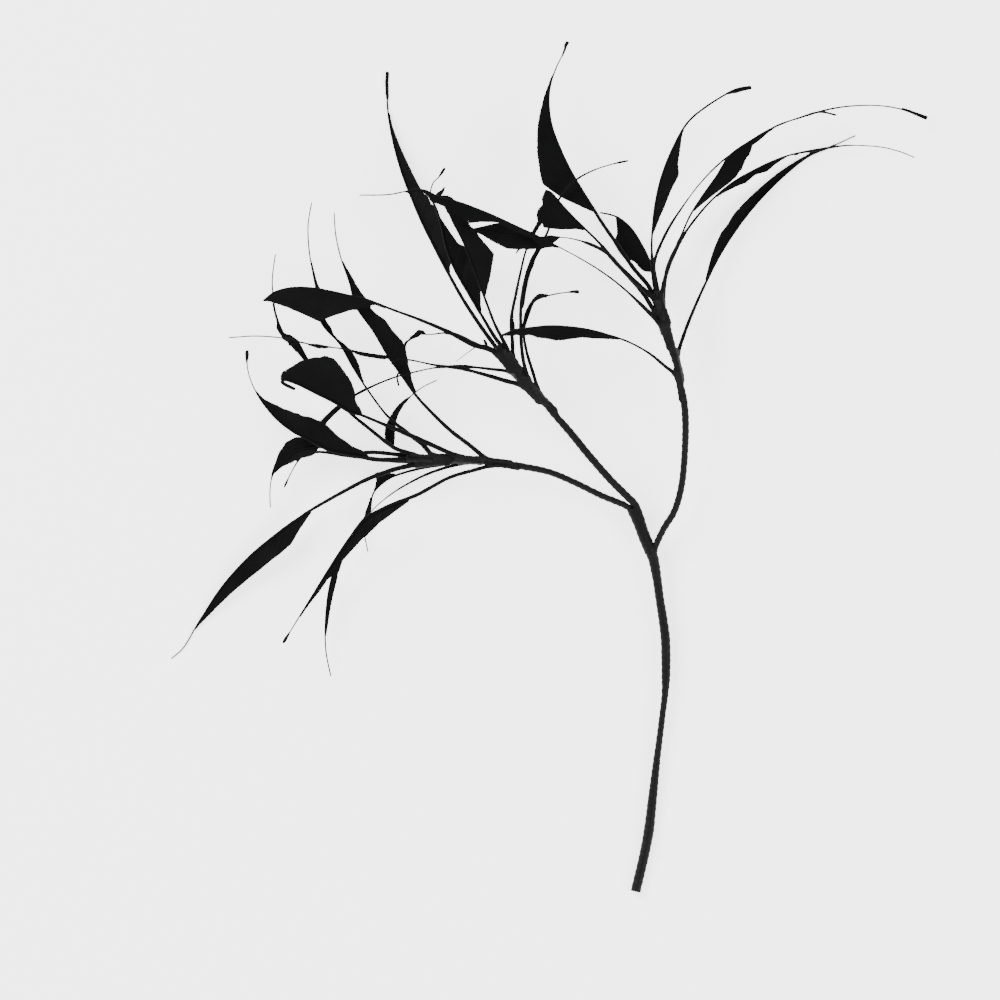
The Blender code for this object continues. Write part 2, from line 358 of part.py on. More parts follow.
def centre_on_footprint(pieces):
    """Moves everything so that the origin is under the middle of the spray, on the table."""
    bpy.context.view_layer.update()
    corners = np.array([piece.matrix_world @ vertex_co for piece in pieces for vertex_co in world_points(piece)])
    low, high = corners.min(axis=0), corners.max(axis=0)
    for piece in pieces:
        piece.location = (-(low[0] + high[0]) / 2, -(low[1] + high[1]) / 2, -low[2])


def world_points(piece):
    """The evaluated points of a piece, in its own coordinates."""
    evaluated = piece.evaluated_get(bpy.context.evaluated_depsgraph_get())
    mesh = evaluated.to_mesh()
    points = [vertex.co.copy() for vertex in mesh.vertices]
    evaluated.to_mesh_clear()
    return points


def main():
    for item in list(bpy.data.objects):
        bpy.data.objects.remove(item, do_unlink=True)
    collection = bpy.data.collections.new("Goose feather hat mount")
    bpy.context.scene.collection.children.link(collection)
    tape = black("Black tape", STEM_COLOUR, 0.6)
    plume = black("Black feather", FEATHER_COLOUR, 0.5)
    pieces = [taped_wire(name, rows, collection, tape) for name, rows in BRANCHES.items()]
    for name, (branch, root_radius, rows) in FEATHERS.items():
        pieces.append(feather(name, branch, root_radius, rows, collection, plume))
    centre_on_footprint(pieces)


main()
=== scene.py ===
"""Dresses the goose feather hat mount: taped wires, bound quills, and vanes made of single barbs.

Lengths in the tables are millimetres on a drawing sheet seen from above, x to the right, y away from the viewer
and z the height over the table. Left and right are as seen from above, looking from a feather's root to its tip.
"""
import math
from collections import namedtuple

import bpy
import numpy as np
from bpy.props import FloatProperty, FloatVectorProperty, PointerProperty
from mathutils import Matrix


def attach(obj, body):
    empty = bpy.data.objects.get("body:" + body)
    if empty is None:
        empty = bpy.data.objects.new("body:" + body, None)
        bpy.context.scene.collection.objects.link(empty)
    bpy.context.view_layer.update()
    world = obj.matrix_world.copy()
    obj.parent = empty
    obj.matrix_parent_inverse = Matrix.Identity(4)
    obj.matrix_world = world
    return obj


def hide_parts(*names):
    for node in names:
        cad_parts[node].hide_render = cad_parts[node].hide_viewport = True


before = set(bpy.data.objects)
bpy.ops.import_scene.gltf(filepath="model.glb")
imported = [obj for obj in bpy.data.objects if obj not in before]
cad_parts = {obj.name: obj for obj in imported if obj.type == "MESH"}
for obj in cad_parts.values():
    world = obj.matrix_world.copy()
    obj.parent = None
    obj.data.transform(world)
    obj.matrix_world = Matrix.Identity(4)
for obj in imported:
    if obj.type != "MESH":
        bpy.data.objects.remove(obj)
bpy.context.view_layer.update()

bl_info = {
    "name": "Goose Feather Hat Mount",
    "version": (1, 0, 0),
    "blender": (4, 5, 0),
    "location": "3D View > Sidebar > Hat Mount",
    "description": "A spray of black goose feathers on taped wire, for sewing to a hat",
    "category": "Add Mesh",
}

MM = 0.001
SHEET_TO_TABLE = np.array([-274.67, -266.3, 0.0])   # moves the drawing sheet to the middle of the footprint
UPWARDS = np.array([0.0, 0.0, 1.0])

# Quills
LEAD = 6.5               # the steps in which a quill runs back under the tape
LEAD_SHARE = 0.72        # its thickness there, as a share of its root's
TAPE_INSET = 0.2         # the wire's own radius is this much less than the table's
QUILL_SIDES = 10
STATION = 0.7            # the step between sections along a shaft
LOOSE = 0.9              # the tape lets go of a quill that is this far from the wire

# Vanes
CUP = 0.18               # how far a vane rises for each millimetre away from its shaft
BARB_BEND = 0.012        # how a barb bends towards the feather's tip
BARB_SPANS = 7
LEAST_VANE = 0.30        # a vane narrower than this beyond the shaft has no barbs
CLING = (0.0, 0.02, 0.05, 0.2)          # how far the ends of a tuft's barbs draw together
CLING_CHANCE = (0.7, 0.2, 0.09, 0.01)    # and how often

# Tape
TURN_STEPS = 30          # sections in one turn of tape
TAPE_OVERLAP = 0.28      # the share of a turn that the next turn covers
OUTER = np.array([1.28, 1.0, 0.85, 0.6, 0.36, 0.14, 0.0])   # across the tape's top, from its covered edge
INNER = np.array([0.0, 0.6, 1.28])                          # and back along its underside

# A branch is a list of (x, y, z, radius), from its root to its tip
BRANCHES = {
    "stem": [
        (318.0, 53.5, 2.5, 2.5), (322.3, 71.5, 2.7, 2.5), (324.8, 85.0, 3.0, 2.6), (326.5, 100.0, 3.4, 2.3),
        (328.6, 119.0, 4.2, 1.8), (330.0, 130.0, 4.6, 1.65), (331.5, 142.0, 5.1, 1.6), (332.7, 152.0, 5.5, 1.7),
        (333.2, 161.0, 5.9, 2.2), (333.2, 172.0, 6.3, 2.4), (332.9, 181.0, 6.8, 2.4), (331.7, 190.5, 7.4, 2.3),
        (330.1, 200.5, 8.0, 2.2), (328.8, 210.0, 8.8, 2.3), (327.0, 220.0, 9.8, 2.7), (325.0, 225.3, 10.4, 3.0),
        (322.6, 231.0, 11.0, 3.1), (319.7, 238.5, 11.8, 3.0), (316.2, 245.9, 12.5, 2.9),
    ],
    "crown_branch": [
        (313.4, 246.9, 13.0, 1.6), (307.5, 249.5, 13.5, 1.6), (300.0, 252.6, 14.5, 1.6), (287.4, 258.8, 16.0, 1.6),
        (275.0, 263.9, 17.0, 1.6), (262.4, 266.6, 18.0, 1.7), (250.0, 268.5, 18.5, 1.9), (240.0, 269.5, 19.0, 1.9),
        (230.0, 270.0, 19.0, 1.8), (220.0, 270.2, 19.0, 1.6), (210.0, 270.5, 19.0, 1.4), (203.0, 270.7, 19.0, 1.1),
    ],
    "middle_branch": [
        (317.7, 247.6, 13.2, 1.9), (313.2, 252.3, 14.6, 1.9), (305.0, 260.5, 17.0, 1.9), (295.0, 271.8, 20.0, 1.9),
        (285.0, 284.0, 23.0, 1.9), (274.6, 295.7, 26.0, 1.7), (267.1, 304.3, 28.0, 2.1), (261.4, 310.3, 29.5, 2.6),
        (256.4, 316.8, 30.5, 3), (251.6, 323.1, 31.5, 2.4), (249.0, 327.3, 32.0, 1.4),
    ],
    "side_branch": [
        (330.4, 232.4, 11.5, 1.6), (333.0, 237.3, 12.7, 1.7), (337.0, 243.7, 15.0, 1.7), (339.9, 252.5, 17.5, 1.7),
        (341.6, 262.5, 20.0, 1.7), (342.5, 275.0, 22.0, 1.7), (342.8, 287.5, 24.0, 1.8), (342.2, 297.5, 25.0, 1.8),
        (340.5, 307.5, 26.0, 1.9), (338.3, 317.5, 26.5, 2.1), (335.4, 327.5, 27.0, 2.9), (332.5, 337.3, 27.5, 3.3),
        (329.4, 347.2, 28.0, 2.7), (327.7, 354.6, 28.0, 1.4),
    ],
}

# A feather is (branch, radius of its quill at the root, rows of (x, y, z, vane to the left, vane to the right))
FEATHERS = {
    "crown_feather_1": ("crown_branch", 1.02, [
        (243.4, 270.7, 21.0, 0, 0), (234.7, 277.5, 24.0, 0, 0), (224.7, 285.2, 27.0, 0, 0),
        (214.7, 294.9, 29.0, 0, 0), (208.1, 302.2, 30.0, 0, 0.3), (201.9, 310.7, 31.0, 0, 4.5),
        (194.2, 321.7, 32.0, 0, 9.9), (186.8, 334.2, 33.0, 0, 8.2), (178.2, 346.5, 34.0, 0, 7.1),
        (174.9, 358.5, 34.5, 0, 2.6), (170.6, 370.8, 35.0, 0, 0.2), (168.0, 382.5, 35.0, 0, 0),
        (167.2, 393.5, 35.0, 0, 0)]),
    "crown_feather_2": ("crown_branch", 1.15, [
        (216.5, 272.4, 19.5, 0, 0), (211.0, 278.0, 20.0, 0, 0), (202.6, 284.4, 21.0, 0, 0),
        (193.2, 292.6, 22.0, 0, 0), (183.6, 305.4, 23.0, 0, 0.6), (176.3, 316.8, 23.0, 0, 3.4),
        (169.9, 328.0, 22.0, 0, 1.6), (160.3, 339.4, 20.0, 0, 2.8), (158.1, 354.7, 18.0, 0, 4.9),
        (156.3, 363.9, 17.0, 0, 0.8), (154.4, 375.2, 16.0, 0, 0), (153.9, 387.7, 16.0, 0, 0),
        (155.7, 399.1, 16.0, 0, 0)]),
    "crown_feather_3": ("crown_branch", 1.1, [
        (203.5, 273.8, 20.5, 0, 0), (196.3, 276.6, 23.0, 0, 0), (186.0, 284.6, 26.0, 0, 0),
        (174.5, 294.2, 27.0, 0, 0), (167.3, 303.7, 28.0, 0, 0), (159.6, 312.2, 28.0, 0, 1.3),
        (151.8, 320.7, 27.0, 0, 1.9), (145.3, 328.8, 26.0, 1.0, 3.2), (141.2, 334.4, 25.0, 1.8, 0.3),
        (137.8, 343.7, 24.0, 0.6, 0), (136.3, 354.1, 24.0, 0, 0), (136.3, 362.6, 24.0, 0, 0),
        (137.7, 373.0, 24.0, 0, 0)]),
    "crown_feather_4": ("crown_branch", 1.35, [
        (226.3, 273.0, 22.0, 0, 0), (213.1, 278.8, 28.0, 0, 0), (201.4, 283.9, 33.0, 0, 0),
        (191.2, 288.1, 37.0, 0, 0), (181.0, 292.3, 40.0, 0, 1.9), (174.4, 294.2, 41.5, 0, 10.4),
        (167.4, 298.7, 43.0, 0, 16.4), (159.3, 302.7, 43.5, 0, 19.5), (149.9, 307.4, 43.5, 0, 13.8),
        (143.3, 309.7, 43.0, 0, 4.1), (141.1, 308.9, 42.5, 0, 0)]),
    "crown_feather_5": ("crown_branch", 1.01, [
        (200.0, 270.3, 21.0, 0, 0), (188.0, 270.2, 22.0, 0, 0), (175.2, 272.6, 22.0, 0, 4.5),
        (164.4, 274.9, 22.0, 0, 6.6), (155.0, 279.7, 22.0, 0, 11.3), (145.8, 284.6, 21.0, 0, 9.2),
        (137.9, 290.8, 20.0, 0, 6.6), (131.1, 298.8, 19.0, 0, 2.2), (127.3, 305.2, 18.0, 0, 0.3),
        (124.8, 311.1, 17.0, 0, 0), (123.4, 317.5, 17.0, 0.2, 0.2), (123.1, 325.0, 17.0, 0.2, 1.1)]),
    "crown_feather_6": ("crown_branch", 1.15, [
        (214.0, 271.0, 15.2, 0, 0), (200.2, 272.6, 13.5, 0, 0), (186.3, 273.9, 13.5, 0, 0),
        (172.3, 273.2, 13.5, 0, 0), (160.2, 276.5, 13.5, 0, 1.0), (150.4, 275.2, 13.5, 4.4, 6.7),
        (144.7, 272.2, 13.0, 3.6, 5.6), (139.7, 267.4, 13.0, 1.5, 2.9), (135.9, 261.9, 11.0, 0, 0.5),
        (134.7, 254.8, 9.0, 0, 0), (134.8, 246.0, 7.0, 0, 0)]),
    "crown_feather_7": ("crown_branch", 0.85, [
        (212.0, 269.5, 16.5, 0, 0), (197.5, 269.6, 12.5, 0, 0), (182.7, 271.2, 11.0, 0, 0),
        (172.3, 272.3, 10.0, 0, 0), (162.4, 273.9, 9.5, 0, 0), (156.0, 273.8, 9.0, 0, 0),
        (150.9, 271.8, 8.5, 0, 0), (148.0, 268.5, 7.5, 0, 0), (145.1, 263.4, 6.5, 0, 0),
        (141.7, 256.3, 5.0, 0.7, 0.2)]),
    "crown_feather_8": ("crown_branch", 1.37, [
        (212.0, 267.9, 19.0, 0, 0), (203.5, 266.9, 18.0, 0, 0), (193.5, 264.2, 17.0, 0, 0),
        (182.5, 259.9, 16.0, 0, 0), (170.3, 253.5, 14.0, 0, 0), (156.0, 245.4, 12.0, 0.8, 0),
        (149.4, 241.0, 11.0, 3.8, 0), (142.0, 235.9, 10.0, 7.7, 0), (127.6, 224.5, 7.5, 8.5, 0),
        (117.3, 214.4, 5.5, 7.2, 0), (108.8, 204.1, 3.5, 5.2, 0), (102.0, 193.8, 1.8, 2.6, 0),
        (97.0, 185.8, 0.6, 0.6, 0), (93.6, 179.7, 0, 0, 0), (90.1, 174.7, 0, 0, 0), (84.8, 170.2, 0, 0, 0)]),
    "crown_feather_9": ("crown_branch", 1.0, [
        (246.5, 267.3, 20.5, 0, 0), (236.5, 264.8, 23.0, 0, 0), (224.0, 260.9, 26.0, 0, 0),
        (209.2, 252.9, 28.0, 0, 0), (197.6, 248.4, 29.0, 3.3, 0), (189.4, 244.7, 29.0, 5.4, 0),
        (182.1, 240.3, 29.0, 6.9, 0), (175.1, 231.3, 28.0, 5.2, 0), (168.4, 221.5, 26.0, 3.5, 0),
        (161.2, 210.2, 24.0, 2.3, 0), (154.2, 199.0, 21.0, 1.2, 0), (147.5, 188.3, 18.0, 0, 0),
        (141.4, 178.4, 15.0, 1.1, 0.8)]),
    "crown_feather_10": ("crown_branch", 0.8, [
        (228.8, 267.7, 16.5, 0, 0), (219.5, 265.2, 14.0, 0, 0), (209.2, 261.0, 12.0, 0, 0),
        (197.0, 254.0, 11.0, 0, 0), (186.1, 245.0, 11.0, 0, 0), (179.6, 235.5, 11.0, 0, 0),
        (173.4, 225.2, 10.5, 2.1, 0), (167.4, 215.9, 10.0, 2.4, 0), (164.3, 205.4, 9.0, 2.8, 0),
        (162.8, 194.0, 8.0, 2.0, 0), (162.3, 182.5, 7.0, 0.6, 0), (162.9, 172.5, 6.0, 0, 0),
        (165.2, 161.3, 5.0, 0, 0)]),
    "crown_feather_11": ("crown_branch", 0.8, [
        (220.5, 267.6, 16.0, 0, 0), (210.0, 265.8, 11.5, 0, 0), (198.5, 262.6, 8.5, 0, 0.6),
        (192.3, 259.4, 7.0, 0, 6.3), (186.4, 253.2, 6.0, 0, 0.3), (184.8, 243.9, 5.0, 0, 2.5),
        (182.0, 234.8, 4.0, 0, 0), (183.7, 224.0, 3.0, 0, 0)]),
    "crown_feather_12": ("crown_branch", 0.8, [
        (206.0, 271.8, 16.9, 0, 0), (201.0, 274.0, 16.6, 0, 0), (197.0, 276.5, 15.0, 0.6, 0.6),
        (195.0, 280.5, 13.0, 2.6, 2.6), (195.0, 286.0, 12.0, 2.6, 2.8), (196.6, 291.5, 11.0, 1.7, 2.0),
        (200.3, 297.5, 10.0, 1.1, 1.4), (207.3, 303.8, 9.5, 0, 0), (212.7, 307.4, 9.0, 0, 0),
        (218.6, 310.2, 9.0, 0, 0)]),
    "middle_feather_1": ("middle_branch", 1.14, [
        (249.0, 324.9, 30.0, 0, 0), (240.5, 336.6, 28.5, 0, 0), (231.5, 350.3, 26.0, 0, 0),
        (223.8, 364.1, 23.0, 0, 1.3), (220.1, 371.0, 21.5, 0, 9.3), (216.2, 378.7, 19.0, 0, 10.6),
        (211.2, 388.7, 16.0, 0, 9.0), (205.9, 401.0, 12.0, 0, 6.5), (201.0, 413.7, 8.5, 0, 4.8),
        (197.4, 425.9, 5.5, 0, 3.0), (194.9, 437.3, 3.0, 0, 1.4), (193.6, 446.6, 1.0, 0, 0),
        (193.4, 455.0, 0, 0.9, 0.8), (194.0, 465.0, 0, 1.4, 0.2)]),
    "middle_feather_2": ("middle_branch", 0.9, [
        (253.0, 327.0, 34.5, 0, 0), (247.5, 337.5, 37.0, 0, 0), (243.3, 348.4, 39.5, 0, 0.3),
        (239.4, 358.6, 41.0, 0, 5.9), (235.5, 368.9, 42.0, 0, 12.2), (231.7, 378.6, 43.0, 0, 8.4),
        (226.9, 387.9, 43.5, 0, 6.6), (222.2, 396.7, 43.5, 0, 5.6), (215.4, 399.5, 43.5, 0, 0),
        (216.3, 407.3, 43.5, 0, 0), (219.5, 411.0, 43.5, 0, 0.2), (222.6, 415.6, 43.5, 0.4, 0.3)]),
    "middle_feather_3": ("middle_branch", 0.92, [
        (248.3, 330.0, 32.2, 0, 0), (241.0, 341.9, 33.5, 0, 0.3), (233.6, 354.5, 34.0, 0, 6.2),
        (227.4, 365.3, 33.5, 0, 8.0), (223.3, 375.6, 33.0, 0, 7.0), (221.2, 384.9, 32.5, 0, 2.8),
        (218.7, 394.1, 32.0, 0, 0.2), (215.5, 400.9, 32.0, 0, 0)]),
    "middle_feather_4": ("middle_branch", 0.8, [
        (256.8, 320.8, 30.5, 0, 0), (256.2, 329.4, 29.5, 0, 0), (255.6, 340.1, 28.0, 0.6, 1.3),
        (257.6, 351.4, 27.0, 0, 0.8), (260.1, 363.1, 26.0, 0.3, 0.6), (262.7, 373.8, 25.0, 0, 0),
        (266.4, 382.5, 24.0, 1.6, 1.2), (271.1, 393.0, 23.0, 0.2, 1.7)]),
    "middle_feather_5": ("middle_branch", 1.15, [
        (265.6, 308.1, 31.0, 0, 0), (262.4, 316.3, 33.0, 0, 0), (260.8, 326.1, 34.0, 0, 0),
        (260.3, 337.6, 35.0, 0.8, 2.9), (260.6, 348.6, 35.0, 0.5, 1.8), (262.5, 360.0, 35.0, 0.7, 2.0),
        (265.4, 369.1, 35.0, 0.5, 2.1), (269.2, 376.1, 35.0, 0, 1.7), (273.4, 383.0, 35.0, 0, 0),
        (276.3, 391.6, 35.5, 0, 0), (279.8, 400.6, 36.0, 0, 0), (284.4, 406.7, 36.0, 0, 0),
        (289.6, 410.9, 36.0, 0, 0), (295.0, 413.8, 36.0, 0, 0), (300.5, 416.0, 35.5, 0, 0),
        (307.0, 417.9, 35.0, 0, 0), (314.1, 419.4, 35.0, 0, 0)]),
    "middle_feather_6": ("middle_branch", 1.05, [
        (269.6, 304.0, 28.0, 0, 0), (266.5, 313.6, 28.0, 0, 0), (263.2, 324.6, 29.0, 0, 0),
        (262.0, 334.5, 30.0, 0, 0), (264.7, 343.7, 30.5, 2.1, 0), (267.2, 349.1, 31.0, 1.4, 0),
        (272.1, 351.5, 31.0, 1.8, 0.6), (279.5, 353.2, 31.0, 0, 0), (289.5, 354.4, 31.0, 0.5, 1.4)]),
    "middle_feather_7": ("middle_branch", 1.19, [
        (245.5, 325.0, 34.0, 0, 0), (236.4, 327.6, 36.0, 0, 0), (224.4, 333.8, 38.0, 0, 0),
        (209.8, 340.0, 40.0, 0, 0), (195.7, 345.2, 41.5, 0, 0), (183.1, 350.1, 42.0, 4.0, 0),
        (173.8, 352.2, 42.0, 9.3, 0), (165.1, 354.2, 41.5, 16.6, 0), (154.7, 355.9, 41.0, 14.1, 0),
        (145.7, 355.9, 40.0, 11.4, 0), (137.6, 353.8, 39.0, 7.3, 0), (131.6, 349.4, 38.0, 0.2, 0)]),
    "middle_feather_8": ("middle_branch", 1.15, [
        (260.8, 307.2, 30.0, 0, 0), (252.9, 309.5, 32.0, 0, 0), (242.4, 312.6, 34.0, 0, 0),
        (230.1, 315.7, 36.5, 0, 0), (217.7, 317.3, 37.5, 0, 0), (204.9, 319.9, 38.0, 0, 0),
        (192.5, 321.0, 38.5, 0.7, 1.4), (181.1, 322.8, 39.0, 0.9, 1.2), (172.4, 325.3, 39.0, 0, 0),
        (160.0, 326.8, 39.0, 1.3, 0.8), (150.2, 328.8, 38.5, 0.7, 0), (139.9, 331.0, 38.0, 0, 0),
        (127.5, 331.8, 37.0, 0, 0), (114.5, 331.0, 36.0, 0, 0)]),
    "middle_feather_9": ("middle_branch", 1.01, [
        (254.8, 313.9, 28.5, 0, 0), (245.5, 315.4, 29.5, 0, 0), (232.6, 316.6, 31.0, 0, 0),
        (219.8, 316.3, 33.0, 0, 0), (209.1, 314.3, 34.5, 0, 0), (197.0, 311.1, 35.0, 0, 0),
        (185.9, 306.6, 35.0, 0, 0), (176.6, 301.8, 34.0, 0, 0), (169.3, 296.8, 32.5, 1.9, 0.8),
        (161.0, 289.0, 30.5, 2.7, 0.9)]),
    "middle_feather_10": ("middle_branch", 0.95, [
        (250.9, 322.3, 28.5, 0, 0), (238.4, 327.6, 27.5, 0, 0), (226.1, 333.2, 26.5, 0, 0),
        (215.3, 332.8, 24.5, 0, 0.3), (208.3, 332.4, 22.0, 1.1, 1.4), (202.7, 327.4, 19.5, 0, 0.9),
        (203.5, 317.5, 17.0, 0, 0), (198.7, 312.8, 16.0, 0, 0), (199.3, 307.0, 15.0, 0.1, 0.3)]),
    "side_feather_1": ("side_branch", 1.23, [
        (324.8, 355.9, 31.0, 0, 0), (316.8, 365.6, 32.0, 0, 0), (309.4, 376.3, 32.0, 0, 0),
        (301.4, 387.8, 31.0, 1.0, 0), (297.4, 394.2, 31.0, 1.2, 0), (291.6, 403.5, 30.0, 8.7, 0),
        (285.3, 414.3, 29.0, 15.4, 0), (279.8, 426.1, 28.0, 11.7, 0), (275.8, 437.4, 27.0, 7.2, 0),
        (274.4, 448.8, 26.0, 3.2, 0), (275.4, 458.2, 25.0, 1.0, 0), (278.3, 466.6, 24.0, 0, 0),
        (281.6, 473.3, 23.0, 0, 0), (283.7, 479.4, 22.0, 0.8, 1.2)]),
    "side_feather_2": ("side_branch", 1.25, [
        (327.0, 350.0, 32.0, 0, 0), (316.4, 359.9, 38.0, 0, 0), (307.3, 368.8, 42.0, 0, 0),
        (299.4, 378.2, 44.0, 0, 0), (291.9, 385.6, 44.0, 1.2, 0), (285.5, 392.0, 43.5, 11.6, 0),
        (279.8, 398.3, 43.0, 14.6, 0), (275.8, 402.9, 43.0, 9.9, 0), (272.6, 404.5, 43.0, 4.9, 0)]),
    "side_feather_3": ("side_branch", 0.8, [
        (328.7, 354.3, 25.0, 0, 0), (326.8, 364.0, 23.5, 0, 0), (323.7, 371.8, 22.0, 7.2, 0),
        (320.1, 378.9, 20.5, 11.6, 0), (315.8, 385.6, 19.0, 11.7, 0), (310.4, 390.6, 18.0, 3.5, 0),
        (305.8, 392.7, 18.0, 0.3, 0), (299.9, 393.9, 18.0, 0, 0)]),
    "side_feather_4": ("side_branch", 0.9, [
        (327.2, 357.8, 31.0, 0, 0), (326.2, 366.5, 34.0, 0, 0), (325.7, 377.3, 36.0, 0, 0),
        (326.3, 387.2, 37.0, 0, 2.2), (327.6, 398.1, 38.0, 0, 5.2), (330.2, 409.8, 38.0, 0, 7.4),
        (333.9, 420.2, 38.0, 0, 5.3), (338.1, 429.2, 37.0, 0, 2.4), (341.7, 435.7, 36.0, 0, 0.4),
        (346.1, 441.0, 35.0, 0, 0), (352.7, 446.2, 34.0, 0, 0), (360.2, 451.1, 33.0, 0, 0),
        (367.7, 455.1, 32.0, 0.1, 2.0), (375.4, 456.7, 31.0, 0.2, 1.6)]),
    "side_feather_5": ("side_branch", 1.1, [
        (330.6, 350.7, 29.5, 0, 0), (333.4, 363.9, 30.5, 0, 0), (338.9, 377.4, 31.0, 0, 0),
        (344.3, 390.8, 32.0, 0, 0.3), (350.9, 401.4, 32.0, 0, 3.2), (358.4, 412.0, 31.0, 0, 7.0),
        (364.9, 422.1, 30.0, 0, 8.8), (375.3, 429.5, 28.0, 0, 2.4), (385.9, 435.8, 26.0, 0, 0.6),
        (400.0, 441.3, 22.5, 0, 0), (417.8, 446.2, 18.0, 0, 0), (435.3, 447.7, 14.0, 0, 0),
        (450.2, 446.1, 10.0, 0.3, 0.3), (464.0, 440.9, 7.0, 1.7, 0.2)]),
    "side_feather_6": ("side_branch", 0.82, [
        (331.7, 350.0, 25.5, 0, 0), (333.9, 366.5, 21.0, 0, 0), (341.2, 381.3, 18.5, 0, 0),
        (349.2, 392.5, 16.0, 0, 0.2), (357.5, 401.6, 14.0, 0, 0.8), (366.8, 409.2, 12.5, 0, 3.1),
        (376.2, 414.7, 11.0, 0, 2.5), (386.0, 419.5, 9.5, 0, 2.2), (395.9, 423.1, 8.5, 0, 0.6),
        (408.6, 425.5, 7.5, 0, 0), (424.0, 427.8, 6.5, 0, 0), (439.9, 427.2, 5.5, 0, 0),
        (450.2, 424.9, 5.0, 0, 0), (458.1, 421.8, 4.5, 0, 0)]),
    "side_feather_7": ("side_branch", 1.04, [
        (338.9, 322.3, 25.0, 0, 0), (342.3, 333.5, 20.5, 0, 0), (346.6, 344.4, 16.0, 0, 0),
        (352.5, 357.6, 12.0, 0.5, 0), (360.0, 372.5, 8.5, 4.0, 0), (369.4, 387.1, 5.5, 5.2, 0),
        (379.9, 400.2, 3.0, 4.4, 0), (392.6, 412.9, 1.2, 3.0, 0), (404.8, 422.5, 0, 1.1, 0),
        (416.3, 427.4, 0, 0.2, 0), (428.6, 433.0, 0, 0, 0)]),
    "side_feather_8": ("side_branch", 0.8, [
        (337.7, 312.3, 28.0, 0, 0), (331.9, 317.3, 30.5, 0, 0), (324.3, 323.4, 33.0, 0, 0),
        (314.6, 328.7, 36.0, 0, 0), (305.8, 331.8, 38.0, 1.5, 0), (294.8, 334.8, 40.0, 4.2, 0),
        (284.9, 336.2, 41.0, 6.2, 0), (274.9, 336.7, 41.5, 6.7, 0), (265.0, 335.7, 42.0, 3.8, 0),
        (257.5, 334.7, 42.0, 2.6, 0), (250.5, 331.8, 42.0, 0, 0)]),
    "side_feather_9": ("side_branch", 0.8, [
        (329.6, 338.1, 31.0, 0, 0), (319.3, 348.6, 36.0, 0, 0), (309.0, 357.7, 42.0, 0, 0),
        (298.8, 365.0, 47.0, 0, 0), (288.6, 371.0, 51.0, 0, 0), (279.7, 375.7, 54.0, 0.3, 0),
        (270.1, 380.6, 56.0, 3.6, 0), (259.8, 385.3, 58.0, 2.4, 0), (249.9, 390.0, 59.0, 2.2, 0),
        (240.2, 394.1, 59.0, 6.5, 0), (230.4, 397.8, 59.0, 6.2, 0), (220.3, 400.5, 58.0, 3.6, 0),
        (210.1, 404.5, 57.0, 0.9, 0), (194.9, 402.0, 55.0, 0, 0), (180.0, 401.7, 53.0, 0, 0)]),
    "side_feather_10": ("side_branch", 1.05, [
        (326.3, 345.4, 30.5, 0, 0), (320.6, 354.3, 32.0, 0, 0), (311.4, 364.5, 36.0, 0, 0),
        (303.8, 372.8, 39.0, 0, 0), (294.4, 377.7, 44.0, 0, 0), (284.0, 380.5, 47.0, 0.3, 0),
        (274.1, 380.9, 48.0, 5.1, 0.9), (264.1, 381.3, 49.0, 6.8, 2.7), (254.2, 382.4, 50.0, 7.3, 6.1),
        (244.8, 383.9, 50.5, 4.1, 3.5), (235.8, 385.0, 51.0, 1.0, 0)]),
    "side_feather_11": ("side_branch", 0.7, [
        (328.1, 359.5, 26.5, 0, 0), (327.4, 369.8, 24.0, 0, 0), (333.6, 384.5, 22.0, 0, 0),
        (341.4, 396.8, 20.0, 0, 0), (349.1, 407.2, 19.0, 0, 0), (357.6, 416.4, 18.0, 0, 0),
        (365.7, 423.0, 18.0, 0, 0), (376.7, 429.8, 17.5, 0, 0), (389.0, 437.6, 17.0, 0, 0),
        (399.8, 441.3, 16.0, 0, 0), (409.8, 444.3, 15.0, 0, 0), (418.6, 442.8, 14.0, 0, 0)]),
}


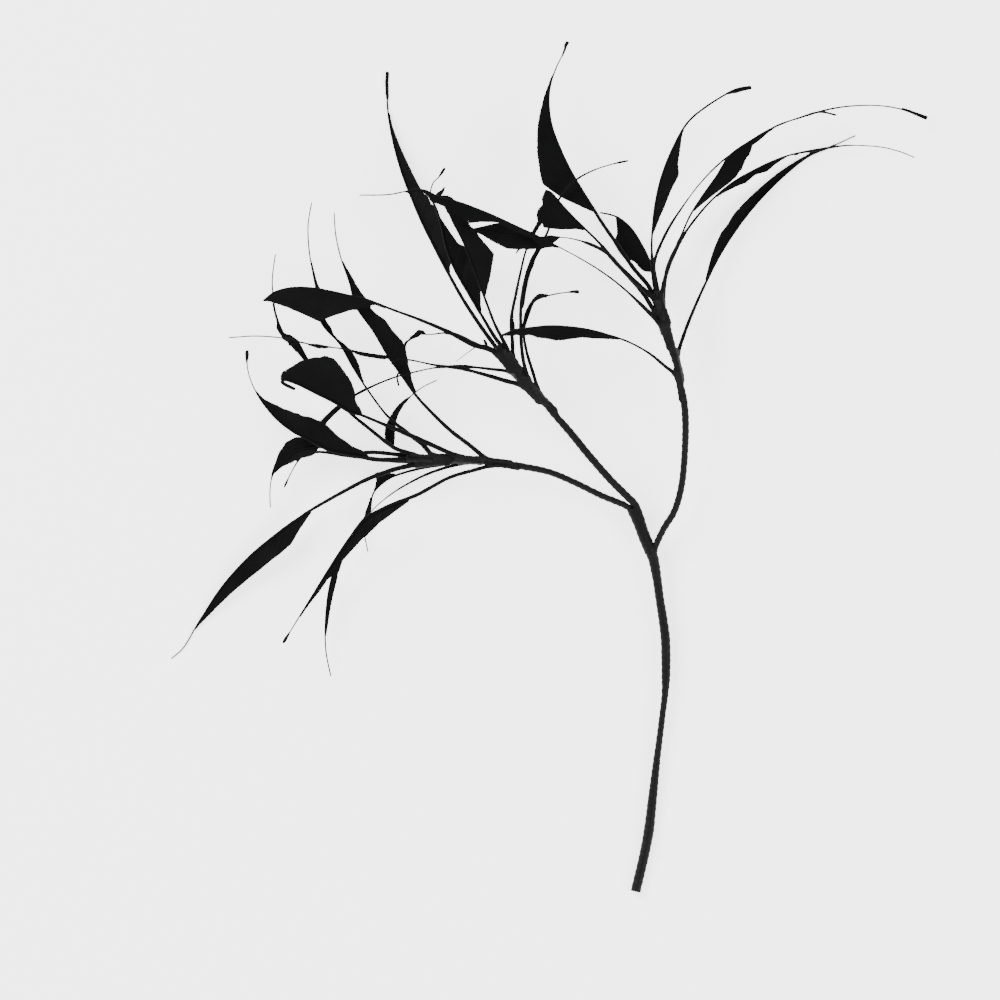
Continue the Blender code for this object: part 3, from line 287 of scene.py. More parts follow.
# The trimmed outline of each vane: (share of the shaft's length, width in mm), read straight between them
TRIMS = {
    "crown_feather_1": {
        "right": [
            (0, 0), (0.256, 0), (0.322, 0.3), (0.329, 1.2), (0.369, 2.8), (0.385, 3.7), (0.392, 4.5), (0.422, 6),
            (0.435, 7.3), (0.465, 8.5), (0.472, 9.4), (0.478, 9.7), (0.505, 10.1), (0.548, 8.4), (0.585, 8.2),
            (0.621, 6.3), (0.648, 5.9), (0.654, 8), (0.701, 6), (0.751, 2.9), (0.847, 0.2), (1, 0)],
    },
    "crown_feather_2": {
        "right": [
            (0, 0), (0.211, 0), (0.301, 0.3), (0.311, 0.6), (0.329, 0.3), (0.362, 1.4), (0.399, 3.2),
            (0.426, 3.6), (0.46, 3.4), (0.466, 2.7), (0.483, 2.2), (0.509, 0.7), (0.533, 1.1), (0.554, 2.6),
            (0.644, 2.9), (0.685, 4.8), (0.698, 4.9), (0.704, 2.5), (0.708, 1.8), (0.728, 1.2), (0.839, 0), (1, 0)],
    },
    "crown_feather_3": {
        "left": [
            (0, 0), (0.556, 0), (0.588, 0.3), (0.592, 0.7), (0.646, 1.2), (0.669, 2.1), (0.681, 1.7),
            (0.712, 2.2), (0.735, 0.9), (0.747, 0.7), (0.805, 0.7), (0.814, 0.3), (0.852, 0), (1, 0)],
        "right": [
            (0, 0), (0.377, 0), (0.459, 0.8), (0.506, 3.6), (0.522, 3.8), (0.533, 2.9), (0.54, 1.7), (0.622, 3.8),
            (0.662, 2.5), (0.669, 1.9), (0.677, 0.8), (0.692, 0.3), (0.771, 0), (1, 0)],
    },
    "crown_feather_4": {
        "right": [
            (0, 0), (0.5, 0), (0.535, 0.9), (0.555, 2.5), (0.588, 5.9), (0.624, 8.3), (0.665, 11.3),
            (0.708, 14.7), (0.755, 17.6), (0.8, 19.4), (0.83, 19.1), (0.853, 18.9), (0.862, 17.6), (0.872, 16.3),
            (0.88, 16.5), (0.905, 14.2), (0.94, 11), (0.975, 5.4), (1, 0.6)],
    },
    "crown_feather_5": {
        "left": [
            (0, 0), (1, 0.2)],
        "right": [
            (0, 0), (0.114, 0), (0.128, 0.7), (0.152, 1.4), (0.185, 3.4), (0.24, 4.5), (0.27, 6.4), (0.332, 8.8),
            (0.38, 10.2), (0.422, 11.1), (0.441, 11.3), (0.45, 10.9), (0.488, 10.7), (0.531, 9.3), (0.559, 9.2),
            (0.578, 8.4), (0.616, 7.5), (0.645, 6.1), (0.678, 5.1), (0.739, 2), (0.801, 0.3), (0.867, 0),
            (0.929, 0.2), (0.976, 1.2), (1, 1.1)],
    },
    "crown_feather_6": {
        "left": [
            (0, 0), (0.537, 0), (0.547, 0.3), (0.552, 2), (0.571, 3.5), (0.591, 4.3), (0.665, 4.3), (0.685, 4.6),
            (0.695, 3.6), (0.719, 3.4), (0.768, 1.5), (0.837, 0), (1, 0)],
        "right": [
            (0, 0), (0.414, 0), (0.537, 1), (0.576, 3.1), (0.631, 6.5), (0.645, 6.9), (0.665, 6.5), (0.68, 6.8),
            (0.695, 5.8), (0.729, 4.8), (0.764, 3), (0.842, 0.4), (1, 0)],
    },
    "crown_feather_7": {
        "left": [
            (0, 0), (0.901, 0), (1, 0.7)],
    },
    "crown_feather_8": {
        "left": [
            (0, 0), (0.269, 0), (0.314, 0.3), (0.317, 0.8), (0.368, 0.8), (0.407, 3.2), (0.482, 8.5),
            (0.527, 8.9), (0.611, 8.5), (0.679, 7.1), (0.76, 4.9), (0.889, 0.3), (1, 0)],
    },
    "crown_feather_9": {
        "left": [
            (0, 0), (0.275, 0), (0.302, 0.7), (0.344, 2.7), (0.412, 5.1), (0.443, 5.7), (0.46, 6.5), (0.481, 6.9),
            (0.526, 6.3), (0.546, 5.4), (0.646, 3.5), (0.68, 4.9), (0.687, 4.8), (0.725, 2.3), (0.773, 2),
            (0.856, 0.7), (0.883, 0.6), (0.918, 0), (0.966, 0.3), (1, 1.1)],
        "right": [
            (0, 0), (0.918, 0), (1, 0.8)],
    },
    "crown_feather_10": {
        "left": [
            (0, 0), (0.441, 0), (0.455, 0.3), (0.459, 2.2), (0.47, 3.1), (0.483, 3.4), (0.53, 1.9), (0.566, 1.4),
            (0.637, 2.9), (0.693, 2.8), (0.815, 1.4), (0.861, 0.1), (0.875, 0), (0.879, 0.3), (0.918, 0), (1, 0)],
    },
    "crown_feather_11": {
        "right": [
            (0, 0), (0.141, 0), (0.249, 0.3), (0.263, 0.7), (0.342, 0.5), (0.378, 1.8), (0.421, 5.3),
            (0.463, 6.3), (0.47, 5.8), (0.485, 3.3), (0.528, 1.1), (0.571, 0.2), (0.706, 2.5), (0.757, 2.1),
            (0.8, 3.1), (0.821, 2.7), (0.828, 0.3), (0.842, 0), (1, 0)],
    },
    "middle_feather_1": {
        "left": [
            (0, 0), (0.882, 0), (0.965, 1.4), (1, 1.4)],
        "right": [
            (0, 0), (0.198, 0), (0.227, 0.3), (0.233, 0.8), (0.288, 0.8), (0.3, 1.3), (0.313, 2.3), (0.351, 9.3),
            (0.374, 11.2), (0.479, 9.1), (0.518, 9), (0.527, 7.9), (0.562, 7.8), (0.569, 6.7), (0.594, 5.9),
            (0.671, 4.7), (0.815, 1.4), (0.863, 0.8), (0.869, 0.3), (0.882, 0), (0.923, 0.8), (1, 0.2)],
    },
    "middle_feather_2": {
        "left": [
            (0, 0), (0.947, 0), (1, 0.4)],
        "right": [
            (0, 0), (0.258, 0.5), (0.287, 2.1), (0.35, 6.6), (0.447, 12.2), (0.544, 8.4), (0.583, 8),
            (0.588, 7.3), (0.607, 6.8), (0.67, 6.3), (0.709, 7.1), (0.729, 7.1), (0.738, 5.8), (0.748, 5.6),
            (0.782, 3.5), (0.811, 3.1), (0.816, 2.7), (0.821, 0.2), (0.826, 0), (1, 0.3)],
    },
    "middle_feather_3": {
        "right": [
            (0, 0), (0.178, 0.3), (0.248, 2.5), (0.28, 4), (0.33, 6.2), (0.376, 7.3), (0.452, 8.5), (0.522, 9.2),
            (0.61, 9.3), (0.645, 8.6), (0.662, 7), (0.694, 5.7), (0.79, 2.5), (0.873, 0.3), (0.898, 0), (1, 0)],
    },
    "middle_feather_4": {
        "left": [
            (0, 0), (0.113, 0), (0.193, 0.3), (0.2, 0.7), (0.313, 0.7), (0.327, 0.3), (0.413, 0), (0.573, 0.3),
            (0.72, 0), (0.847, 1.6), (0.86, 1.6), (0.867, 1), (1, 0.2)],
        "right": [
            (0, 0), (0.113, 0), (0.147, 0.3), (0.153, 1.5), (0.227, 2), (0.253, 1.4), (0.287, 1.1), (0.647, 0.6),
            (0.72, 0), (0.847, 1.2), (0.873, 1), (0.933, 1.8), (1, 1.7)],
    },
    "middle_feather_5": {
        "left": [
            (0, 0), (0.138, 0), (0.211, 0.3), (0.214, 0.7), (0.316, 0.5), (0.418, 0.6), (0.512, 0), (0.567, 0),
            (1, 0)],
        "right": [
            (0, 0), (0.138, 0), (0.156, 0.7), (0.182, 0.9), (0.222, 2.9), (0.225, 0.7), (0.247, 0.4),
            (0.276, 0.8), (0.283, 1.4), (0.302, 1.8), (0.41, 1.9), (0.443, 2.2), (0.469, 1.8), (0.512, 1.7),
            (0.52, 2.2), (0.531, 3.6), (0.545, 3.1), (0.552, 2.5), (0.556, 0.3), (0.567, 0), (1, 0)],
    },
    "middle_feather_6": {
        "left": [
            (0, 0), (0.443, 0), (0.464, 0.3), (0.471, 1), (0.55, 2), (0.586, 2.1), (0.664, 1.4), (0.721, 2.4),
            (0.743, 2), (0.793, 0.2), (0.829, 0.4), (0.857, 0), (1, 0.5)],
        "right": [
            (0, 0), (0.671, 0), (0.757, 0.6), (0.857, 0), (0.936, 0.5), (1, 1.4)],
    },
    "middle_feather_7": {
        "left": [
            (0, 0), (0.444, 0), (0.469, 0.8), (0.51, 0.9), (0.543, 2.9), (0.576, 6.2), (0.601, 6.8), (0.617, 7.6),
            (0.667, 13.1), (0.708, 16.6), (0.794, 14.1), (0.868, 11.4), (0.951, 6.6), (0.963, 5.3), (0.988, 1.5),
            (1, 0.2)],
    },
    "middle_feather_8": {
        "left": [
            (0, 0), (0.388, 0), (0.435, 0.3), (0.438, 3.2), (0.445, 3.3), (0.455, 1.2), (0.462, 0.4), (0.482, 1),
            (0.515, 0.8), (0.542, 1.1), (0.609, 0), (0.625, 0.3), (0.629, 0), (0.649, 0), (0.696, 1.4),
            (0.749, 0.1), (0.756, 0.4), (0.786, 3.1), (0.796, 2.8), (0.799, 0.3), (0.829, 0), (1, 0)],
        "right": [
            (0, 0), (0.388, 0), (0.472, 1.4), (0.555, 1.2), (0.609, 0), (0.696, 0.8), (0.759, 0), (1, 0)],
    },
    "middle_feather_9": {
        "left": [
            (0, 0), (0.799, 0), (0.814, 0.3), (0.819, 0.8), (0.853, 2.2), (0.873, 2.6), (0.882, 1.9),
            (0.985, 1.9), (0.99, 2.6), (1, 2.7)],
        "right": [
            (0, 0), (0.799, 0), (0.941, 1), (1, 0.9)],
    },
    "middle_feather_10": {
        "left": [
            (0, 0), (0.5, 0), (0.559, 0.3), (0.566, 0.9), (0.586, 1.1), (0.704, 0), (1, 0.1)],
        "right": [
            (0, 0), (0.513, 0.2), (0.526, 0.4), (0.539, 1.8), (0.579, 2.5), (0.599, 1.4), (0.658, 0.4),
            (0.691, 1), (0.836, 0), (1, 0.3)],
    },
    "side_feather_1": {
        "left": [
            (0, 0), (0.189, 0), (0.224, 0.3), (0.228, 1.1), (0.331, 0.9), (0.342, 1.2), (0.438, 10.3),
            (0.509, 15.4), (0.53, 14.8), (0.616, 11.2), (0.669, 8.1), (0.751, 3.9), (0.808, 1.7), (0.843, 0.8),
            (0.9, 0), (0.954, 0), (0.968, 0.3), (0.975, 0.9), (1, 0.8)],
        "right": [
            (0, 0), (0.954, 0), (1, 1.2)],
    },
    "side_feather_2": {
        "left": [
            (0, 0), (0.521, 0), (0.566, 0.6), (0.643, 0.7), (0.687, 3.2), (0.719, 5.8), (0.757, 9.6),
            (0.777, 12.5), (0.796, 13.8), (0.828, 14.5), (0.847, 13.6), (0.879, 14.6), (0.91, 12.9),
            (0.968, 8.8), (1, 4.9)],
    },
    "side_feather_3": {
        "left": [
            (0, 0), (0.189, 0), (0.198, 3.4), (0.245, 5.2), (0.283, 6.1), (0.34, 6.8), (0.453, 11.2),
            (0.528, 11.7), (0.66, 11.5), (0.698, 8.8), (0.717, 7.1), (0.811, 2.7), (0.849, 0.2), (1, 0)],
    },
    "side_feather_4": {
        "left": [
            (0, 0), (0.863, 0), (0.903, 0.4), (0.944, 0), (1, 0.2)],
        "right": [
            (0, 0), (0.173, 0), (0.194, 0.6), (0.206, 0.5), (0.327, 4.8), (0.472, 8), (0.484, 7.8), (0.52, 5.6),
            (0.577, 3.8), (0.625, 1.7), (0.669, 0.4), (0.726, 0), (0.863, 0), (0.883, 0.3), (0.935, 2), (1, 1.6)],
    },
    "side_feather_5": {
        "left": [
            (0, 0), (0.838, 0), (0.92, 0.3), (0.928, 0.9), (1, 1.7)],
        "right": [
            (0, 0), (0.236, 0.2), (0.268, 1.7), (0.345, 6), (0.385, 8.7), (0.398, 8.6), (0.414, 9.1),
            (0.424, 8.8), (0.443, 7.6), (0.459, 6.1), (0.467, 6), (0.493, 2.4), (0.512, 2.4), (0.57, 0.3),
            (0.642, 0), (0.838, 0), (0.944, 0.4), (1, 0.2)],
    },
    "side_feather_6": {
        "right": [
            (0, 0), (0.213, 0), (0.357, 0.5), (0.462, 3.8), (0.5, 2.4), (0.535, 3.6), (0.541, 3.5), (0.57, 2),
            (0.614, 0.4), (0.646, 0.8), (0.652, 0.3), (0.705, 0), (1, 0)],
    },
    "side_feather_7": {
        "left": [
            (0, 0), (0.166, 0), (0.232, 0.3), (0.238, 0.7), (0.268, 0.5), (0.394, 4.4), (0.447, 5.4), (0.477, 5),
            (0.52, 5.6), (0.719, 3.1), (0.821, 1.1), (0.834, 1.1), (0.848, 2), (0.868, 1.2), (0.894, 0.8),
            (0.897, 0.3), (1, 0)],
    },
    "side_feather_8": {
        "left": [
            (0, 0), (0.309, 0), (0.351, 0.3), (0.503, 3.9), (0.565, 4.5), (0.665, 6.9), (0.707, 7.3),
            (0.812, 5.3), (0.822, 4.9), (0.827, 4.3), (0.853, 3.4), (0.89, 3.5), (0.932, 2.3), (0.942, 2.7),
            (1, 0)],
    },
    "side_feather_9": {
        "left": [
            (0, 0), (0.326, 0), (0.386, 0.3), (0.406, 1.6), (0.427, 3.9), (0.438, 4.1), (0.473, 2.3),
            (0.553, 2.5), (0.579, 2.2), (0.628, 5.6), (0.654, 8), (0.666, 7.8), (0.689, 6.1), (0.695, 6),
            (0.718, 7.1), (0.729, 6.9), (0.741, 4.2), (0.744, 3.8), (0.767, 3.5), (0.769, 3.7), (0.821, 0.9),
            (0.859, 1.4), (0.867, 0.3), (0.914, 0), (1, 0)],
    },
    "side_feather_10": {
        "left": [
            (0, 0), (0.583, 0.2), (0.593, 0.6), (0.644, 5.1), (0.667, 5.7), (0.676, 6.2), (0.713, 6.2),
            (0.731, 6.4), (0.736, 6.8), (0.755, 6.5), (0.769, 6.9), (0.824, 7.4), (0.903, 4.7), (0.954, 2.3),
            (1, 1)],
        "right": [
            (0, 0), (0.551, 0), (0.616, 0.7), (0.634, 1.2), (0.653, 0.5), (0.681, 0.2), (0.699, 1), (0.713, 2.2),
            (0.727, 2.4), (0.847, 6.5), (0.88, 4.9), (1, 0)],
    },
}

# Each bare shaft's radius: (share of its length, radius in mm)
SHAFTS = {
    "crown_feather_1": [(0, 1.25), (0.15, 1.12), (0.29, 0.85), (0.42, 0.56), (0.74, 0.42), (1, 0.3)],
    "crown_feather_2": [(0, 1.39), (0.13, 1.13), (0.23, 0.57), (0.41, 0.55), (1, 0.3)],
    "crown_feather_3": [(0, 1.16), (0.13, 1.02), (0.38, 0.74), (0.95, 0.3), (1, 0.3)],
    "crown_feather_4": [(0, 1.22), (0.22, 1.32), (0.38, 1.04), (0.44, 0.83), (1, 0.59)],
    "crown_feather_5": [(0, 1.3), (0.1, 1.2), (0.22, 0.9), (0.85, 0.3), (0.933, 0.32), (0.967, 0.8), (1, 0.72)],
    "crown_feather_6": [(0, 1.24), (0.28, 1.06), (0.88, 0.3), (1, 0.3)],
    "crown_feather_7": [(0, 1.25), (0.25, 1.1), (0.7, 0.67), (0.88, 0.31), (0.937, 0.32), (0.97, 0.6), (1, 0.54)],
    "crown_feather_8": [(0, 1.4), (0.14, 1.21), (0.37, 0.83), (0.99, 0.3), (1, 0.3)],
    "crown_feather_9": [(0, 1.1), (0.16, 0.95), (0.27, 1.06), (0.953, 0.32), (0.981, 0.9), (1, 0.81)],
    "crown_feather_10": [(0, 0.89), (0.12, 0.75), (0.31, 0.3), (0.65, 0.44), (0.99, 0.36), (1, 0.38)],
    "crown_feather_11": [(0, 0.84), (0.88, 0.32), (1, 0.31)],
    "crown_feather_12": [(0, 0.63), (0.88, 0.3), (1, 0.3)],
    "middle_feather_1": [(0, 1.23), (0.32, 0.83), (1, 0.4), (1, 0.4)],
    "middle_feather_2": [(0, 1.1), (0.12, 0.8), (0.37, 0.58), (0.941, 0.32), (0.973, 0.75), (1, 0.68)],
    "middle_feather_3": [(0, 1.15), (0.15, 0.85), (1, 0.57)],
    "middle_feather_4": [(0, 1.12), (0.8, 0.49), (0.927, 0.32), (0.963, 0.7), (1, 0.63)],
    "middle_feather_5": [(0, 1.09), (0.57, 0.66), (0.81, 0.55), (0.9, 0.33), (0.95, 0.35), (0.965, 0.6), (1, 0.5)],
    "middle_feather_6": [(0, 1.03), (0.29, 0.84), (0.5, 0.6), (0.916, 0.32), (0.955, 0.75), (1, 0.68)],
    "middle_feather_7": [(0, 1.5), (0.4, 0.7), (1, 0.3)],
    "middle_feather_8": [(0, 1.33), (0.11, 1.12), (0.16, 0.9), (0.23, 0.97), (0.34, 0.44), (0.55, 0.49),
        (0.68, 0.3), (0.78, 0.49), (0.8, 0.63), (0.81, 0.34), (1, 0.3)],
    "middle_feather_9": [(0, 0.97), (0.1, 0.81), (0.16, 0.66), (0.19, 0.76), (0.22, 1.1), (0.35, 0.62),
        (0.39, 0.35), (0.68, 0.56), (0.75, 0.78), (0.941, 0.32), (0.973, 0.8), (1, 0.72)],
    "middle_feather_10": [(0, 1.27), (0.39, 0.95), (0.4, 0.51), (0.5, 0.3), (1, 0.54)],
    "side_feather_1": [(0, 1.23), (0.92, 0.35), (0.937, 0.32), (0.97, 0.7), (1, 0.63)],
    "side_feather_2": [(0, 1.34), (0.49, 1.02), (0.51, 0.67), (1, 0.51)],
    "side_feather_3": [(0, 0.9), (1, 0.44)],
    "side_feather_4": [(0, 1.22), (0.09, 0.98), (0.15, 0.58), (0.76, 0.57), (1, 0.46)],
    "side_feather_5": [(0, 1.22), (0.06, 1.08), (0.11, 0.9), (0.16, 1.15), (0.17, 0.81), (0.19, 0.51),
        (0.29, 0.56), (0.48, 0.59), (0.62, 0.36), (0.66, 0.59), (0.84, 0.32), (1, 0.45)],
    "side_feather_6": [(0, 1.06), (0.15, 0.99), (0.2, 0.98), (0.22, 0.71), (0.38, 0.51), (0.63, 0.5),
        (0.7, 0.74), (0.82, 0.3), (1, 0.3)],
    "side_feather_7": [(0, 1.1), (0.28, 0.71), (0.92, 0.56), (0.93, 0.34), (1, 0.3)],
    "side_feather_8": [(0, 1.05), (0.09, 0.93), (0.23, 0.55), (0.5, 0.56), (1, 0.66)],
    "side_feather_9": [(0, 1.3), (0.06, 1.15), (0.13, 0.6), (0.35, 0.32), (0.63, 0.48), (1, 0.3)],
    "side_feather_10": [(0, 1.23), (0.46, 0.87), (0.48, 0.47), (0.55, 0.3), (1, 0.36)],
    "side_feather_11": [(0, 0.89), (0.2, 0.81), (0.36, 0.36), (0.55, 0.52), (0.59, 0.77), (0.74, 0.63),
        (0.8, 0.36), (0.9, 0.55), (1, 0.54)],
}

# Curled bits of vane and long single barbs: rows of (x, y, z, half its width in mm)
WISPS = {
    "crown_feather_4": [
        [(141.3, 309.6, 42.5, 0.5), (141.5, 308.6, 42.3, 0.9), (144.2, 306.9, 42.0, 0.9), (147.9, 305.2, 41.8, 0.8)]],
    "middle_feather_3": [
        [(216.8, 400.6, 32.2, 0.3), (219.4, 402.6, 32.2, 1.3), (221.2, 404.2, 32.3, 0.9), (222.4, 406.4, 32.4, 0.3)]],
    "middle_feather_7": [
        [(243.4, 326.5, 31.0, 0.8), (242.6, 329.0, 31.5, 0.8), (241.8, 330.2, 31.8, 0.4)],
        [(237.5, 326.2, 31.0, 0.3), (233.0, 323.0, 30.0, 0.22), (228.0, 319.2, 29.0, 0.18)]],
    "side_feather_10": [
        [(260.8, 378.0, 49.0, 0.5), (259.6, 375.4, 48.6, 0.6), (258.0, 372.8, 48.2, 0.3)]],
}

# Where a branch's wire runs on inside the stem
HIDDEN_ROOTS = {
    "stem": [],
    "crown_branch": [(321.0, 236.0, 11.5, 1.3), (317.3, 243.2, 12.4, 1.5)],
    "middle_branch": [(324.0, 229.5, 11.0, 1.5), (320.7, 240.5, 12.2, 1.8)],
    "side_branch": [(328.9, 210.0, 8.8, 1.2), (327.0, 219.0, 9.8, 1.5), (327.7, 226.0, 10.6, 1.6)],
}

Line = namedtuple("Line", "length row place along side up")
Bound = namedtuple("Bound", "at angle radius apart")
Path = namedtuple("Path", "at distance angle radius leaves")


def unit(vectors):
    """Vectors divided by their lengths."""
    return vectors / np.maximum(np.linalg.norm(vectors, axis=-1, keepdims=True), 1e-12)


def ease(share):
    """0 below 0, 1 above 1, and 3t^2 - 2t^3 between."""
    share = np.clip(share, 0.0, 1.0)
    return share * share * (3 - 2 * share)


def curve_at(rows, t):
    """Catmull-Rom: between two rows, the cubic whose slope at a row is half the step between its neighbours."""
    before = np.vstack([2 * rows[0] - rows[1], rows[:-1]])
    after = np.vstack([rows[1:], 2 * rows[-1] - rows[-2]])
    slope = (after - before) / 2
    i = np.clip(np.floor(t).astype(int), 0, len(rows) - 2)
    u = (t - i)[:, None]
    return ((2 * u ** 3 - 3 * u ** 2 + 1) * rows[i] + (u ** 3 - 2 * u ** 2 + u) * slope[i]
            + (3 * u ** 2 - 2 * u ** 3) * rows[i + 1] + (u ** 3 - u ** 2) * slope[i + 1])


def line_through(rows, step):
    """Even stations on the curve through the rows, each with its direction, and the two directions square to it."""
    rows = np.array(rows, dtype=float)
    fine = np.linspace(0, len(rows) - 1, 24 * (len(rows) - 1) + 1)
    place = curve_at(rows[:, :3], fine)
    length = np.concatenate([[0.0], np.cumsum(np.linalg.norm(np.diff(place, axis=0), axis=1))])
    even = np.linspace(0, length[-1], int(length[-1] / step) + 2)
    row = np.interp(even, length, fine)
    place = curve_at(rows[:, :3], row)
    return framed(even, row, place)


def framed(length, row, place):
    """A line from its places: along is their gradient, side is along x upwards, up is side x along."""
    along = unit(np.gradient(place, axis=0))
    side = unit(np.cross(along, UPWARDS))
    return Line(length, row, place, along, side, np.cross(side, along))


def read(line, values, s):
    """Values kept at a line's stations, read straight between them at the lengths s."""
    if values.ndim == 1:
        return np.interp(s, line.length, values)
    return np.stack([np.interp(s, line.length, values[:, k]) for k in range(values.shape[1])], axis=-1)


def ring_faces(rings, sides, count=1):
    """Quads and end triangles of closed tubes, their points ordered by tube, ring and side."""
    tube = np.arange(count)[:, None, None] * rings * sides
    ring = np.arange(rings - 1)[None, :, None] * sides
    side = np.arange(sides)[None, None, :]
    a = tube + ring + side
    b = tube + ring + (side + 1) % sides
    quads = np.stack([a, b, b + sides, a + sides], axis=-1).reshape(-1, 4)
    fan = np.arange(1, sides - 1)[None, :]
    start = np.arange(count)[:, None] * rings * sides
    end = start + (rings - 1) * sides
    caps = np.concatenate([np.stack([start + 0 * fan, start + fan + 1, start + fan], axis=-1).reshape(-1, 3),
                           np.stack([end + 0 * fan, end + fan, end + fan + 1], axis=-1).reshape(-1, 3)])
    return quads, caps


class Shape:
    """Points, their places on the pattern, and faces, gathered from several closed parts."""

    def __init__(self):
        self.points, self.pattern, self.quads, self.triangles, self.count = [], [], [], [], 0

    def add(self, points, pattern, quads, triangles):
        self.points.append(points.reshape(-1, 3))
        self.pattern.append(pattern.reshape(-1, 2))
        self.quads.append(quads + self.count)
        self.triangles.append(triangles + self.count)
        self.count += self.points[-1].shape[0]

    def piece(self, name, node, slot, material):
        """The finished object: it stands for its CAD node and rides on the one body."""
        points = (np.concatenate(self.points) + SHEET_TO_TABLE) * MM
        quads, triangles = np.concatenate(self.quads), np.concatenate(self.triangles)
        corners = np.concatenate([quads.ravel(), triangles.ravel()])
        starts = np.concatenate([np.arange(len(quads)) * 4, 4 * len(quads) + np.arange(len(triangles)) * 3])
        mesh = bpy.data.meshes.new(name)
        mesh.vertices.add(len(points))
        mesh.vertices.foreach_set("co", points.ravel())
        mesh.loops.add(len(corners))
        mesh.loops.foreach_set("vertex_index", corners.astype(np.int32))
        mesh.polygons.add(len(starts))
        mesh.polygons.foreach_set("loop_start", starts.astype(np.int32))
        mesh.update(calc_edges=True)
        mesh.uv_layers.new(name="lay").data.foreach_set("uv", np.concatenate(self.pattern)[corners].ravel())
        mesh.shade_smooth()
        mesh.set_sharp_from_angle(angle=math.radians(38))
        mesh.materials.append(material)
        piece = bpy.data.objects.new(name, mesh)
        bpy.context.scene.collection.objects.link(piece)
        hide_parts(node)
        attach(piece, "root")
        return piece


# ---------------------------------------------------------------- wires and tape

def wire_line(name):
    """A branch's centre line, with its hidden root, and its radius at each station."""
    rows = np.array(HIDDEN_ROOTS[name] + BRANCHES[name], dtype=float)
    line = line_through(rows, 0.8)
    return line, np.interp(line.row, np.arange(len(rows)), rows[:, 3])


def bound_quill(name):
    """Where a feather's quill meets its branch: the length along it, the angle round it, the quill's radius under the
    tape, and how far its first row is from the wire."""
    branch, _, rows = FEATHERS[name]
    wire, _ = wire_line(branch)
    start = np.array(rows[0][:3])
    k = int(np.argmin(np.linalg.norm(wire.place - start, axis=1)))
    away = start - wire.place[k]
    angle = math.atan2(away @ wire.side[k], away @ wire.up[k])
    return Bound(wire.length[k], angle, SHAFTS[name][0][1] * LEAD_SHARE, np.linalg.norm(away))


def feathers_of(branch):
    """The names of the feathers bound to a branch."""
    return [name for name, (bound_to, _, _) in FEATHERS.items() if bound_to == branch]


def core_radii(branch, wire, radii):
    """The wire's own radius: the table's, less the tape, and less a quarter where quills lie beside it."""
    quills = [bound_quill(name) for name in feathers_of(branch)]
    if not quills:
        return radii - TAPE_INSET
    first = min(quill.at for quill in quills) - 2 * LEAD
    return (radii - TAPE_INSET) * (1 - 0.25 * ease((wire.length - first) / 8.0))


def quill_paths(branch, wire, core):
    """Each quill of a branch as its wire sees it: its distance, angle and radius by the length along the wire, and
    the length at which the tape lets go of it."""
    paths = []
    for name in feathers_of(branch):
        line, thick, _, _, first = feather_line(name)
        near = line.length < first + 14
        place, radius = line.place[near], thick[near]
        k = np.argmin(np.linalg.norm(place[:, None] - wire.place[None], axis=2), axis=1)
        away = place - wire.place[k]
        slip = np.sum(away * wire.along[k], axis=1)
        distance = np.linalg.norm(away - slip[:, None] * wire.along[k], axis=1)
        angle = np.unwrap(np.arctan2(np.sum(away * wire.side[k], axis=1), np.sum(away * wire.up[k], axis=1)))
        at = np.maximum.accumulate(wire.length[k] + slip) + np.arange(len(k)) * 1e-4
        loose = np.flatnonzero(distance - radius > core[k] + LOOSE)
        paths.append(Path(at, distance, angle, radius, at[loose[0]] if len(loose) else at[-1] + 5))
    return paths


def taped_radius(paths, wire, core, s, angle):
    """Radius of the tape's bed: a belt drawn round the wire's circle and each quill's circle beside it.

    The belt leaves the wire where cos(turn) = (core - radius) / distance, runs straight, r = core / cos(that - turn),
    and then lies on the quill. Past the place where the quill has left the wire, the belt drops back to the wire.
    """
    inner = read(wire, core, s) + 0 * angle
    bed = inner
    for path in paths:
        distance, radius = np.interp(s, path.at, path.distance), np.interp(s, path.at, path.radius) + 0.05
        turn = np.abs((angle - np.interp(s, path.at, path.angle) + np.pi) % (2 * np.pi) - np.pi)
        normal = np.arccos(np.clip((inner - radius) / distance, -1.0, 1.0))
        straight = np.minimum(inner / np.cos(np.clip(normal - turn, 0.0, 1.5)), distance + radius)
        circle = distance * np.cos(turn) + np.sqrt(np.maximum(radius ** 2 - (distance * np.sin(turn)) ** 2, 0.0))
        touch = np.arctan2(radius * np.sin(normal), distance + radius * np.cos(normal))
        belt = np.where(turn < touch, circle, np.where(turn < normal, straight, inner))
        over = ease((s - path.at[0] + 2.0) / 3.0) * (1 - ease((s - path.leaves) / 1.2))
        bed = np.maximum(bed, inner + over * (belt - inner))
    return bed


def crinkle(rng, turns, across):
    """Creases of stretched tape: a sum of sine ridges that run mostly across the tape."""
    relief = np.zeros(np.broadcast(turns, across).shape)
    for k in range(9):
        pace, lean, start = rng.uniform(2.3, 11.0), rng.uniform(-1.2, 1.2), rng.uniform(0, 2 * np.pi)
        swell = 0.5 + 0.5 * np.sin(2 * np.pi * (turns * rng.uniform(0.07, 0.4) + rng.uniform()))
        relief += swell * np.sin(2 * np.pi * (pace * turns + lean * across) + start) / (1 + 0.25 * pace)
    return relief / 2.2


